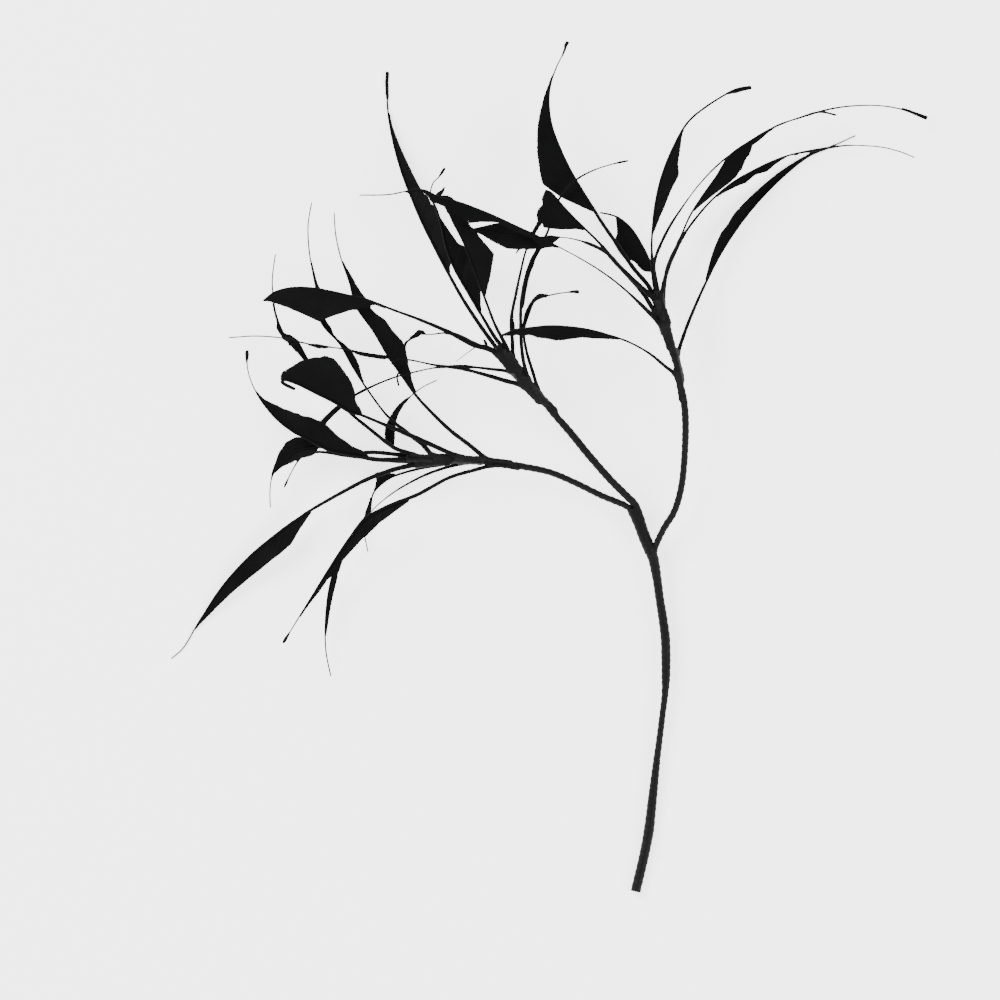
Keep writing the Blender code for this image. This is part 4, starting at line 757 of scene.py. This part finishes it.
def add_tape(shape, name, wire, core, sizes, rng):
    """Tape wound round a branch: for turn w and place q across it, s = width (w + q) and the angle is 2 pi w.

    The inner face lies on the bed, or on the turn below for the first part of its width, and drops off its edge
    over a third of a turn.
    """
    width, thick = sizes.turn_width / MM, sizes.tape_thickness / MM
    turns = wire.length[-1] / width - 0.3
    w = np.linspace(-1.0, turns, int((turns + 1) * TURN_STEPS))[:, None]
    across = np.concatenate([OUTER, INNER])[None, :]
    outer = np.concatenate([np.ones(len(OUTER)), np.zeros(len(INNER))])[None, :]
    wander = (0.10 * np.sin(2 * np.pi * (0.31 * w + rng.uniform()))
              + 0.07 * np.sin(2 * np.pi * (0.113 * w + rng.uniform())))
    s = np.clip(width * (w + across + wander), 0.0, wire.length[-1])
    angle = 2 * np.pi * w + 0 * across
    lift = thick * (1 - ease((across - TAPE_OVERLAP) / 0.35)) + thick * outer * np.where(across <= 0, 0.75, 1.0)
    radius = taped_radius(quill_paths(name, wire, core), wire, core, s, angle) + lift
    radius += outer * sizes.tape_crease / MM * crinkle(rng, w, across)
    spoke = np.cos(angle)[..., None] * read(wire, wire.up, s) + np.sin(angle)[..., None] * read(wire, wire.side, s)
    points = read(wire, wire.place, s) + radius[..., None] * spoke
    pattern = np.stack([w * 12.0 + 0 * across, width * across + 0 * w], axis=-1)
    shape.add(points, pattern, *ring_faces(*points.shape[:2]))


def add_core(shape, wire, core, sides=20):
    """The wire and its padding: a round tube a little inside the tape, with ends drawn in to a dome."""
    end = np.minimum(wire.length, wire.length[-1] - wire.length)
    inset = np.sqrt(np.clip(1 - (1 - end / 1.2) ** 2, 0.0, 1.0))
    radius = np.where(end < 1.2, 0.35 + 0.65 * inset, 1.0) * (core + 0.02)
    angle = np.linspace(0, 2 * np.pi, sides, endpoint=False)[None, :, None]
    spoke = np.cos(angle) * wire.up[:, None, :] + np.sin(angle) * wire.side[:, None, :]
    points = wire.place[:, None, :] + radius[:, None, None] * spoke
    pattern = np.stack(np.broadcast_arrays(wire.length[:, None], angle[..., 0] * 2), axis=-1)
    shape.add(points, pattern, *ring_faces(*points.shape[:2]))


# ---------------------------------------------------------------- feathers

def feather_line(name):
    """A feather's centre line, led in under the tape beside its wire, with the shaft's radius at each station."""
    branch, _, rows = FEATHERS[name]
    rows = np.array(rows, dtype=float)
    wire, radii = wire_line(branch)
    core = core_radii(branch, wire, radii)
    quill = bound_quill(name)
    reach = max(LEAD, 1.8 * quill.apart)
    back = quill.at - np.array([reach + LEAD, reach])
    back = back[back > 1.0]
    spoke = math.cos(quill.angle) * read(wire, wire.up, back) + math.sin(quill.angle) * read(wire, wire.side, back)
    lead = read(wire, wire.place, back) + (read(wire, core, back) + 0.85 * quill.radius)[:, None] * spoke
    rows = np.vstack([np.hstack([lead, np.zeros((len(lead), 2))]), rows])
    line = line_through(rows, STATION)
    out = ease((line.row - len(lead) + 0.9) / 0.9)
    first = np.interp(len(lead), line.row, line.length)
    share = (line.length - first) / (line.length[-1] - first)
    thick = np.interp(share, *np.array(SHAFTS[name]).T) * (LEAD_SHARE + (1 - LEAD_SHARE) * out)
    place = line.place.copy()
    place[:, 2] = np.maximum(place[:, 2], thick)
    left = np.interp(line.row, np.arange(len(rows)), rows[:, 3])
    right = np.interp(line.row, np.arange(len(rows)), rows[:, 4])
    return framed(line.length, line.row, place), thick, left, right, first


def trimmed(name, line, first, left, right):
    """The widths of a feather's two sides: the trimmed outline where there is one, else the table's."""
    share = (line.length - first) / (line.length[-1] - first)
    outlines = TRIMS.get(name, {})
    return [np.interp(share, *np.array(outlines[side]).T) if side in outlines else width
            for side, width in (("left", left), ("right", right))]


def add_shaft(shape, line, thick, left, right, rng):
    """The shaft: its radius is uneven by a few hundredths, with a groove underneath where it carries a vane."""
    angle = np.linspace(0, 2 * np.pi, QUILL_SIDES, endpoint=False)[None, :]
    uneven = (1 + 0.035 * np.sin(line.length * 0.9 + rng.uniform(0, 6))
              + 0.025 * np.sin(line.length * 2.3 + rng.uniform(0, 6)))
    vane = ease((np.maximum(left, right) - 0.4) / 1.0)[:, None]
    radius = (thick * uneven)[:, None] * (1 - 0.22 * vane * np.exp(-((angle - np.pi) / 0.5) ** 2))
    radius[-1] *= 0.5
    spoke = np.cos(angle)[..., None] * line.up[:, None, :] + np.sin(angle)[..., None] * line.side[:, None, :]
    points = line.place[:, None, :] + radius[..., None] * spoke
    pattern = np.stack(np.broadcast_arrays(line.length[:, None], angle * thick[:, None]), axis=-1)
    shape.add(points, pattern, *ring_faces(*points.shape[:2]))


def vane_place(line, thick, hand, s, u, waves):
    """A point of the vane: the shaft's place at s, u to one side, and raised by the cup and by two long waves."""
    full, phase, other_phase = waves
    far = u / max(full, 2.0)
    warp = (0.55 * np.sin(s * 0.21 + phase) + 0.25 * np.sin(s * 0.53 + other_phase)) * far ** 1.5 * min(1.0, full / 8)
    rise = CUP * np.maximum(u - read(line, thick, s), 0.0) + warp
    return (read(line, line.place, s) + hand * u[..., None] * read(line, line.side, s)
            + rise[..., None] * read(line, line.up, s))


def patches(width, thick):
    """Runs of stations where the vane reaches beyond the shaft, as (first, last) pairs."""
    there = np.concatenate([[False], width > thick + 0.08, [False]])
    edges = np.flatnonzero(there[1:] != there[:-1])
    return [(a, min(b, len(width) - 1)) for a, b in zip(edges[::2], edges[1::2]) if b - a > 2]


def add_vane(shape, line, thick, width, hand, sizes, rag, rng):
    """One side of a vane, barb by barb.

    A barb from s0 runs along s = s0 + c u + bend u^2 out to where u meets the trimmed width. Its lean c grows from
    the vane's root to its tip, and at the root it is no more than lets the barbs reach the whole outline.
    """
    for a, b in patches(width, thick):
        root, tip = line.length[a], line.length[b]
        widest = a + int(np.argmax(width[a:b + 1]))
        rising = slice(a + 1, max(widest, a + 1) + 1)
        lean_root = np.min((line.length[rising] - root + 0.8 - BARB_BEND * width[rising] ** 2) / width[rising])
        lean_root = float(np.clip(lean_root, 0.3, 1.25))
        starts = np.arange(root - 0.4, tip, sizes.barb_gap / MM)
        starts = starts + rng.uniform(-0.08, 0.08, len(starts))
        share = np.clip((starts - root) / (tip - root), 0, 1)
        lean = lean_root + (1.7 - lean_root) * share ** 0.9
        spread = np.gradient(lean, starts)[:, None]      # how much more each barb leans than the one before it
        room = np.diff(starts, prepend=starts[0] - 0.4, append=starts[-1] + 0.4)
        room = np.maximum(room[:-1], room[1:])[:, None]  # the wider of the gaps beside it
        trial = np.linspace(0, width[a:b + 1].max() + 0.5, 160)[None, :]
        s_trial = starts[:, None] + lean[:, None] * trial + BARB_BEND * trial ** 2
        outside = trial > read(line, width, s_trial) + 0.12 * (trial < 1.0)
        reach = trial[0, np.argmax(outside, axis=1)]
        reach = reach - np.abs(rng.normal(0, rag, len(starts)))
        keep = reach > read(line, thick, starts) + LEAST_VANE - 0.15
        starts, lean, reach, spread, room = starts[keep], lean[keep], reach[keep], spread[keep], room[keep]
        if not len(starts):
            continue
        # neighbouring barbs cling together in tufts, with narrow slits between a few of them
        borders = np.cumsum(rng.uniform(2.0, 8.0, 60)) + root
        tuft = np.searchsorted(borders, starts)
        low = np.concatenate([[root - 1], borders])[tuft]
        high = borders[np.minimum(tuft, len(borders) - 1)]
        cling = rng.choice(CLING, 61, p=CLING_CHANCE)[tuft] * (1 - 2 * (starts - low) / (high - low))
        raised = rng.uniform(-0.06, 0.06, 61)[tuft]
        span = np.linspace(0, 1, BARB_SPANS + 1)[None, :]
        inner = (read(line, thick, starts) * 0.4)[:, None]
        u = inner + (reach[:, None] - inner) * span
        far = u / max(width[a:b + 1].max(), 2.0)
        s = starts[:, None] + lean[:, None] * u + BARB_BEND * u ** 2 + cling[:, None] * far ** 2 * 1.6
        s = np.minimum(s, line.length[-1])
        waves = width[a:b + 1].max(), rng.uniform(0, 6), rng.uniform(0, 6)
        place = vane_place(line, thick, hand, s, u, waves)
        beside = vane_place(line, thick, hand, s + room * (1 + spread * u), u, waves)
        along = unit(np.gradient(place, axis=1))
        gap = beside - place
        gap = gap - along * np.sum(gap * along, axis=-1, keepdims=True)
        # each barb lies in the vane's own surface, which holds the way along it and the way to the barb beside it
        normal = unit(read(line, line.up, s) - hand * CUP * read(line, line.side, s))
        facing = np.cross(gap, along)
        facing = facing * np.where(np.sum(facing * normal, axis=-1, keepdims=True) < 0, -1.0, 1.0) + 0.02 * normal
        edge = unit(np.cross(along, facing))
        normal = np.cross(edge, along)
        place = place + (raised[:, None] * far)[..., None] * normal
        gap = np.linalg.norm(gap, axis=-1)
        half = np.clip(0.5 * sizes.barb_overlap * gap, 0.07, 0.8) * (1 - 0.15 * ease((span - 0.9) / 0.1))
        thin = sizes.barb_thickness / MM
        tilt = hand * thin * 0.8
        rings = np.stack([place + thin * normal,
                          place + half[..., None] * edge + (tilt - 0.3 * thin) * normal,
                          place - half[..., None] * edge - (tilt + 0.3 * thin) * normal], axis=2)
        rings[..., 2] = np.maximum(rings[..., 2], 0.0)
        mark = rng.uniform(0, 50, len(starts))[:, None, None]
        pattern = np.stack(np.broadcast_arrays(u[..., None], mark + np.array([0.0, 0.2, -0.2])), axis=-1)
        shape.add(rings, pattern, *ring_faces(BARB_SPANS + 1, 3, len(starts)))


def add_stubs(shape, line, thick, width, hand, first, rng):
    """The roots of barbs that were stripped off: small three-sided spikes that lean towards the tip."""
    spots = np.arange(first + 2.0, line.length[-1] - 1.0, 0.9)
    spots = spots + rng.uniform(-0.4, 0.4, len(spots))
    spots = spots[(read(line, width, spots) < read(line, thick, spots) + 0.1) & (rng.uniform(size=len(spots)) < 0.55)]
    if not len(spots):
        return
    long = rng.uniform(0.12, 0.45, len(spots))[:, None] * (1 + 1.2 * (rng.uniform(size=(len(spots), 1)) > 0.93))
    wide = rng.uniform(0.05, 0.09, len(spots))[:, None]
    along, up = read(line, line.along, spots), read(line, line.up, spots)
    side = hand * read(line, line.side, spots)
    radius = read(line, thick, spots)[:, None]
    base = read(line, line.place, spots) + side * radius * 0.8
    point = base + (0.85 * along + 0.5 * side) * long + side * radius * 0.2
    ring = np.stack([base - along * wide, base + hand * up * wide,
                     base + along * wide - hand * up * 0.4 * wide], axis=1)
    points = np.concatenate([ring, point[:, None, :]], axis=1)
    start = np.arange(len(spots))[:, None] * 4
    faces = np.array([(0, 1, 2), (0, 3, 1), (1, 3, 2), (2, 3, 0)])
    triangles = (start[:, :, None] + faces[None]).reshape(-1, 3)
    shape.add(points, np.zeros((len(spots), 4, 2)), np.zeros((0, 4), int), triangles)


def add_wisp(shape, rows):
    """A curled bit of vane or a single long barb: a tube along its rows, a third as high as it is wide."""
    line = line_through([row[:3] for row in rows], 0.5)
    radius = np.interp(line.row, np.arange(len(rows)), [row[3] for row in rows])[:, None, None]
    angle = np.linspace(0, 2 * np.pi, 8, endpoint=False)[None, :, None]
    spoke = np.cos(angle) * line.up[:, None, :] * 0.35 + np.sin(angle) * line.side[:, None, :]
    points = line.place[:, None, :] + radius * spoke
    pattern = np.stack(np.broadcast_arrays(line.length[:, None], angle[..., 0]), axis=-1)
    shape.add(points, pattern, *ring_faces(*points.shape[:2]))


def make_feather(name, sizes, material):
    """One feather: its shaft, the barbs of both sides, the stubs where the vane was stripped, and its loose bits."""
    rng = np.random.default_rng(1000 + list(FEATHERS).index(name))
    line, thick, left, right, first = feather_line(name)
    left, right = trimmed(name, line, first, left, right)
    shape = Shape()
    add_shaft(shape, line, thick, left, right, rng)
    rag = sizes.edge_rag / MM
    for width, hand in ((left, -1.0), (right, 1.0)):
        add_vane(shape, line, thick, width, hand, sizes, rag, rng)
        add_stubs(shape, line, thick, width, hand, first, rng)
    for rows in WISPS.get(name, ()):
        add_wisp(shape, rows)
    return shape.piece("Black_" + name, name, "feather", material)


# ---------------------------------------------------------------- finishes

def black_finish(name, deep, tone_and_highlight, grain, depth, rough, specular, sheen):
    """A black finish: its colour drifts slowly at random, and a fine grain along the pattern moves gloss and relief,
    with a painted highlight on its high spots and painted shade in its low ones.
    """
    material = bpy.data.materials.new(name)
    material.use_nodes = True
    nodes, links = material.node_tree.nodes, material.node_tree.links
    shader = nodes["Principled BSDF"]
    shader.inputs["Specular IOR Level"].default_value = specular
    shader.inputs["Sheen Weight"].default_value = sheen
    shader.inputs["Sheen Roughness"].default_value = 0.4
    where = nodes.new("ShaderNodeTexCoord")
    drift = nodes.new("ShaderNodeTexNoise")
    drift.inputs["Scale"].default_value = 45.0
    drift.inputs["Detail"].default_value = 3.0
    links.new(where.outputs["Object"], drift.inputs["Vector"])
    lay = nodes.new("ShaderNodeUVMap")
    lay.uv_map = "lay"
    stretch = nodes.new("ShaderNodeMapping")
    stretch.inputs["Scale"].default_value = (*grain, 1.0)
    links.new(lay.outputs["UV"], stretch.inputs["Vector"])
    fibre = nodes.new("ShaderNodeTexNoise")
    fibre.inputs["Scale"].default_value = 1.0
    fibre.inputs["Detail"].default_value = 4.0
    links.new(stretch.outputs["Vector"], fibre.inputs["Vector"])
    both = nodes.new("ShaderNodeMath")
    both.operation = "MULTIPLY"
    links.new(drift.outputs["Fac"], both.inputs[0])
    links.new(fibre.outputs["Fac"], both.inputs[1])
    # the lighter colour is a painted highlight where the grain, and so the bump, is high, and the deep one painted
    # shade where it is low, mixed with the slow random drift of tone
    tone = nodes.new("ShaderNodeValToRGB")
    tone.color_ramp.elements[0].position = 0.16
    tone.color_ramp.elements[0].color = (*deep, 1.0)
    tone.color_ramp.elements[1].position = 0.42
    tone.color_ramp.elements[1].color = (*tone_and_highlight, 1.0)
    links.new(both.outputs["Value"], tone.inputs["Fac"])
    links.new(tone.outputs["Color"], shader.inputs["Base Color"])
    gloss = nodes.new("ShaderNodeMapRange")
    gloss.inputs["From Min"].default_value = 0.3
    gloss.inputs["From Max"].default_value = 0.7
    gloss.inputs["To Min"].default_value = rough[0]
    gloss.inputs["To Max"].default_value = rough[1]
    links.new(fibre.outputs["Fac"], gloss.inputs["Value"])
    links.new(gloss.outputs["Result"], shader.inputs["Roughness"])
    relief = nodes.new("ShaderNodeBump")
    relief.inputs["Strength"].default_value = 0.6
    relief.inputs["Distance"].default_value = depth
    links.new(fibre.outputs["Fac"], relief.inputs["Height"])
    links.new(relief.outputs["Normal"], shader.inputs["Normal"])
    return material


def feather_finish():
    """Dyed goose feather: satin black barbs, their tone uneven at random, with a painted sheen that makes the grain's
    high spots greyer.
    """
    sizes = bpy.context.scene.mount_feathers
    return bpy.data.materials.get("Dyed_black_feather") or black_finish(
        "Dyed_black_feather", sizes.deep_colour, sizes.tone_and_highlight_colour, (1.6, 6.0), 0.00002, (0.5, 0.7), 0.06, 0.0)


def tape_finish():
    """Crepe stem tape: dull black with fine creases across it, mottled at random, with a painted highlight on its
    high spots and painted shade in its folds.
    """
    sizes = bpy.context.scene.mount_tape
    return bpy.data.materials.get("Black_stem_tape") or black_finish(
        "Black_stem_tape", sizes.deep_colour, sizes.tone_and_highlight_colour, (2.6, 0.5), 0.00006, (0.45, 0.7), 0.12, 0.0)


# ---------------------------------------------------------------- settings

def colour(name, description, default):
    return FloatVectorProperty(name=name, description=description, default=default, size=3, min=0.0, max=1.0,
                               subtype="COLOR")


class TapeSettings(bpy.types.PropertyGroup):
    turn_width: FloatProperty(name="Turn width", description="How far the tape advances in one turn",
                              default=3.4 * MM, unit="LENGTH", precision=5)
    tape_thickness: FloatProperty(name="Tape thickness", description="Height of the step at the tape's edge",
                                  default=0.16 * MM, unit="LENGTH", precision=5)
    tape_crease: FloatProperty(name="Creases", description="Height of the creases in the stretched tape",
                               default=0.06 * MM, unit="LENGTH", precision=5)
    # the deep colour is painted shade in the tape's folds and the lighter colour a painted highlight on its high
    # spots, both mixed with a random mottle
    deep_colour: colour("Deep colour", "Colour in the folds of the tape", (0.0022, 0.0022, 0.0024))
    tone_and_highlight_colour: colour("Highlight and mottle colour", "Colour on the tape's high spots", (0.0065, 0.0065, 0.0064))


class FeatherSettings(bpy.types.PropertyGroup):
    barb_gap: FloatProperty(name="Barb gap", description="Distance between the roots of two barbs",
                            default=0.32 * MM, unit="LENGTH", precision=5)
    barb_overlap: FloatProperty(name="Barb overlap", description="Width of a barb as a share of the gap beside it",
                                default=1.7, min=1.0, max=2.5)
    barb_thickness: FloatProperty(name="Barb thickness", description="Height of the ridge along a barb",
                                  default=0.06 * MM, unit="LENGTH", precision=5)
    edge_rag: FloatProperty(name="Edge unevenness", description="How much the trimmed ends of the barbs differ",
                            default=0.09 * MM, unit="LENGTH", precision=5)
    # the deep colour is the black with painted shade where the grain is low, and the ridge colour a painted sheen
    # where it is high, both mixed with a random drift of tone
    deep_colour: colour("Deep colour", "Colour between the barbs", (0.0016, 0.0016, 0.0018))
    tone_and_highlight_colour: colour("Ridge colour", "Colour of the painted sheen, paler at random", (0.0038, 0.0038, 0.0040))


class StageSettings(bpy.types.PropertyGroup):
    picture_width: FloatProperty(name="Picture width", description="Width of the view on the table",
                                 default=0.5, unit="LENGTH")
    camera_height: FloatProperty(name="Camera height", description="Height of the camera over the table",
                                 default=6.0, unit="LENGTH")
    floor_colour: colour("Floor colour", "Colour of the table", (0.93, 0.93, 0.925))
    floor_glow: FloatProperty(name="Floor glow", description="How strongly the light table shines from below",
                              default=2.4, min=0.0, max=10.0)


# ---------------------------------------------------------------- operators

class MOUNT_OT_taped_wires(bpy.types.Operator):
    """Make the taped stem and the three taped branches"""
    bl_idname = "hat_mount.taped_wires"
    bl_label = "Taped stem and branches"

    def execute(self, context):
        for number, name in enumerate(BRANCHES):
            rng = np.random.default_rng(40 + number)
            wire, radii = wire_line(name)
            core = core_radii(name, wire, radii)
            shape = Shape()
            add_core(shape, wire, core)
            add_tape(shape, name, wire, core, context.scene.mount_tape, rng)
            shape.piece("Taped_" + name, name, "tape", tape_finish())
        return {"FINISHED"}


def make_feathers(prefix):
    """All the feathers of one branch, in the table's order."""
    for name in FEATHERS:
        if name.startswith(prefix):
            make_feather(name, bpy.context.scene.mount_feathers, feather_finish())


class MOUNT_OT_crown_feathers(bpy.types.Operator):
    """Make the twelve feathers of the crown branch"""
    bl_idname = "hat_mount.crown_feathers"
    bl_label = "Crown feathers"

    def execute(self, context):
        make_feathers("crown_feather")
        return {"FINISHED"}


class MOUNT_OT_middle_feathers(bpy.types.Operator):
    """Make the ten feathers of the middle branch"""
    bl_idname = "hat_mount.middle_feathers"
    bl_label = "Middle feathers"

    def execute(self, context):
        make_feathers("middle_feather")
        return {"FINISHED"}


class MOUNT_OT_side_feathers(bpy.types.Operator):
    """Make the eleven feathers of the side branch"""
    bl_idname = "hat_mount.side_feathers"
    bl_label = "Side feathers"

    def execute(self, context):
        make_feathers("side_feather")
        return {"FINISHED"}


def area_light(name, place, target, size, power):
    """A square soft light that faces a target."""
    lamp = bpy.data.lights.new(name, "AREA")
    lamp.size = size
    lamp.energy = power
    light = bpy.data.objects.new(name, lamp)
    light.location = place
    towards = bpy.context.scene.cursor.location.copy()
    towards.x, towards.y, towards.z = (t - p for t, p in zip(target, place))
    light.rotation_euler = towards.to_track_quat("-Z", "Y").to_euler()
    bpy.context.scene.collection.objects.link(light)


class MOUNT_OT_stage(bpy.types.Operator):
    """Make the pale table, the soft lights and the camera that looks straight down"""
    bl_idname = "hat_mount.stage"
    bl_label = "Table, lights and camera"

    def execute(self, context):
        stage = context.scene.mount_stage
        half = 3.0
        mesh = bpy.data.meshes.new("Table")
        mesh.from_pydata([(-half, -half, 0), (half, -half, 0), (half, half, 0), (-half, half, 0)], [], [(0, 1, 2, 3)])
        material = bpy.data.materials.new("Pale_table")
        material.use_nodes = True
        shader = material.node_tree.nodes["Principled BSDF"]
        shader.inputs["Base Color"].default_value = (*stage.floor_colour, 1.0)
        shader.inputs["Roughness"].default_value = 0.85
        shader.inputs["Emission Color"].default_value = (1.0, 1.0, 1.0, 1.0)
        shader.inputs["Emission Strength"].default_value = stage.floor_glow
        mesh.materials.append(material)
        table = bpy.data.objects.new("Table", mesh)
        table.location.z = -0.0003
        context.scene.collection.objects.link(table)
        centre = (np.array([250.0, 250.0, 0.0]) + SHEET_TO_TABLE) * MM
        area_light("Key_light", (centre[0] - 1.5, centre[1] + 1.3, 2.0), centre, 1.5, 130.0)
        area_light("Fill_light", (centre[0] + 1.6, centre[1] - 0.6, 1.7), centre, 1.6, 60.0)
        area_light("Low_light", (centre[0] - 0.4, centre[1] - 1.9, 1.3), centre, 1.4, 45.0)
        world = bpy.data.worlds.new("Soft_room")
        world.use_nodes = True
        world.node_tree.nodes["Background"].inputs["Color"].default_value = (1.0, 1.0, 1.0, 1.0)
        world.node_tree.nodes["Background"].inputs["Strength"].default_value = 0.14
        context.scene.world = world
        lens = bpy.data.cameras.new("Camera")
        lens.sensor_width = 36.0
        middle = 0.025
        lens.lens = lens.sensor_width * (stage.camera_height - middle) / stage.picture_width
        lens.clip_end = 50.0
        camera = bpy.data.objects.new("Camera", lens)
        camera.location = (centre[0], centre[1], stage.camera_height)
        context.scene.collection.objects.link(camera)
        context.scene.camera = camera
        return {"FINISHED"}


STEPS = (MOUNT_OT_taped_wires, MOUNT_OT_crown_feathers, MOUNT_OT_middle_feathers, MOUNT_OT_side_feathers,
         MOUNT_OT_stage)
GROUPS = (("mount_tape", TapeSettings), ("mount_feathers", FeatherSettings), ("mount_stage", StageSettings))


class MOUNT_PT_panel(bpy.types.Panel):
    """The hat mount's steps and sizes"""
    bl_idname = "MOUNT_PT_panel"
    bl_label = "Hat Mount"
    bl_space_type = "VIEW_3D"
    bl_region_type = "UI"
    bl_category = "Hat Mount"

    def draw(self, context):
        for step in STEPS:
            self.layout.operator(step.bl_idname)
        for attribute, group in GROUPS:
            box = self.layout.box()
            for key in group.__annotations__:
                box.prop(getattr(context.scene, attribute), key)


def register():
    for attribute, group in GROUPS:
        bpy.utils.register_class(group)
        setattr(bpy.types.Scene, attribute, PointerProperty(type=group))
    for entry in (*STEPS, MOUNT_PT_panel):
        bpy.utils.register_class(entry)


def unregister():
    for entry in reversed((*STEPS, MOUNT_PT_panel)):
        bpy.utils.unregister_class(entry)
    for attribute, group in reversed(GROUPS):
        delattr(bpy.types.Scene, attribute)
        bpy.utils.unregister_class(group)


def main():
    register()
    bpy.ops.hat_mount.taped_wires()
    bpy.ops.hat_mount.crown_feathers()
    bpy.ops.hat_mount.middle_feathers()
    bpy.ops.hat_mount.side_feathers()
    bpy.ops.hat_mount.stage()


if __name__ == "__main__":
    main()
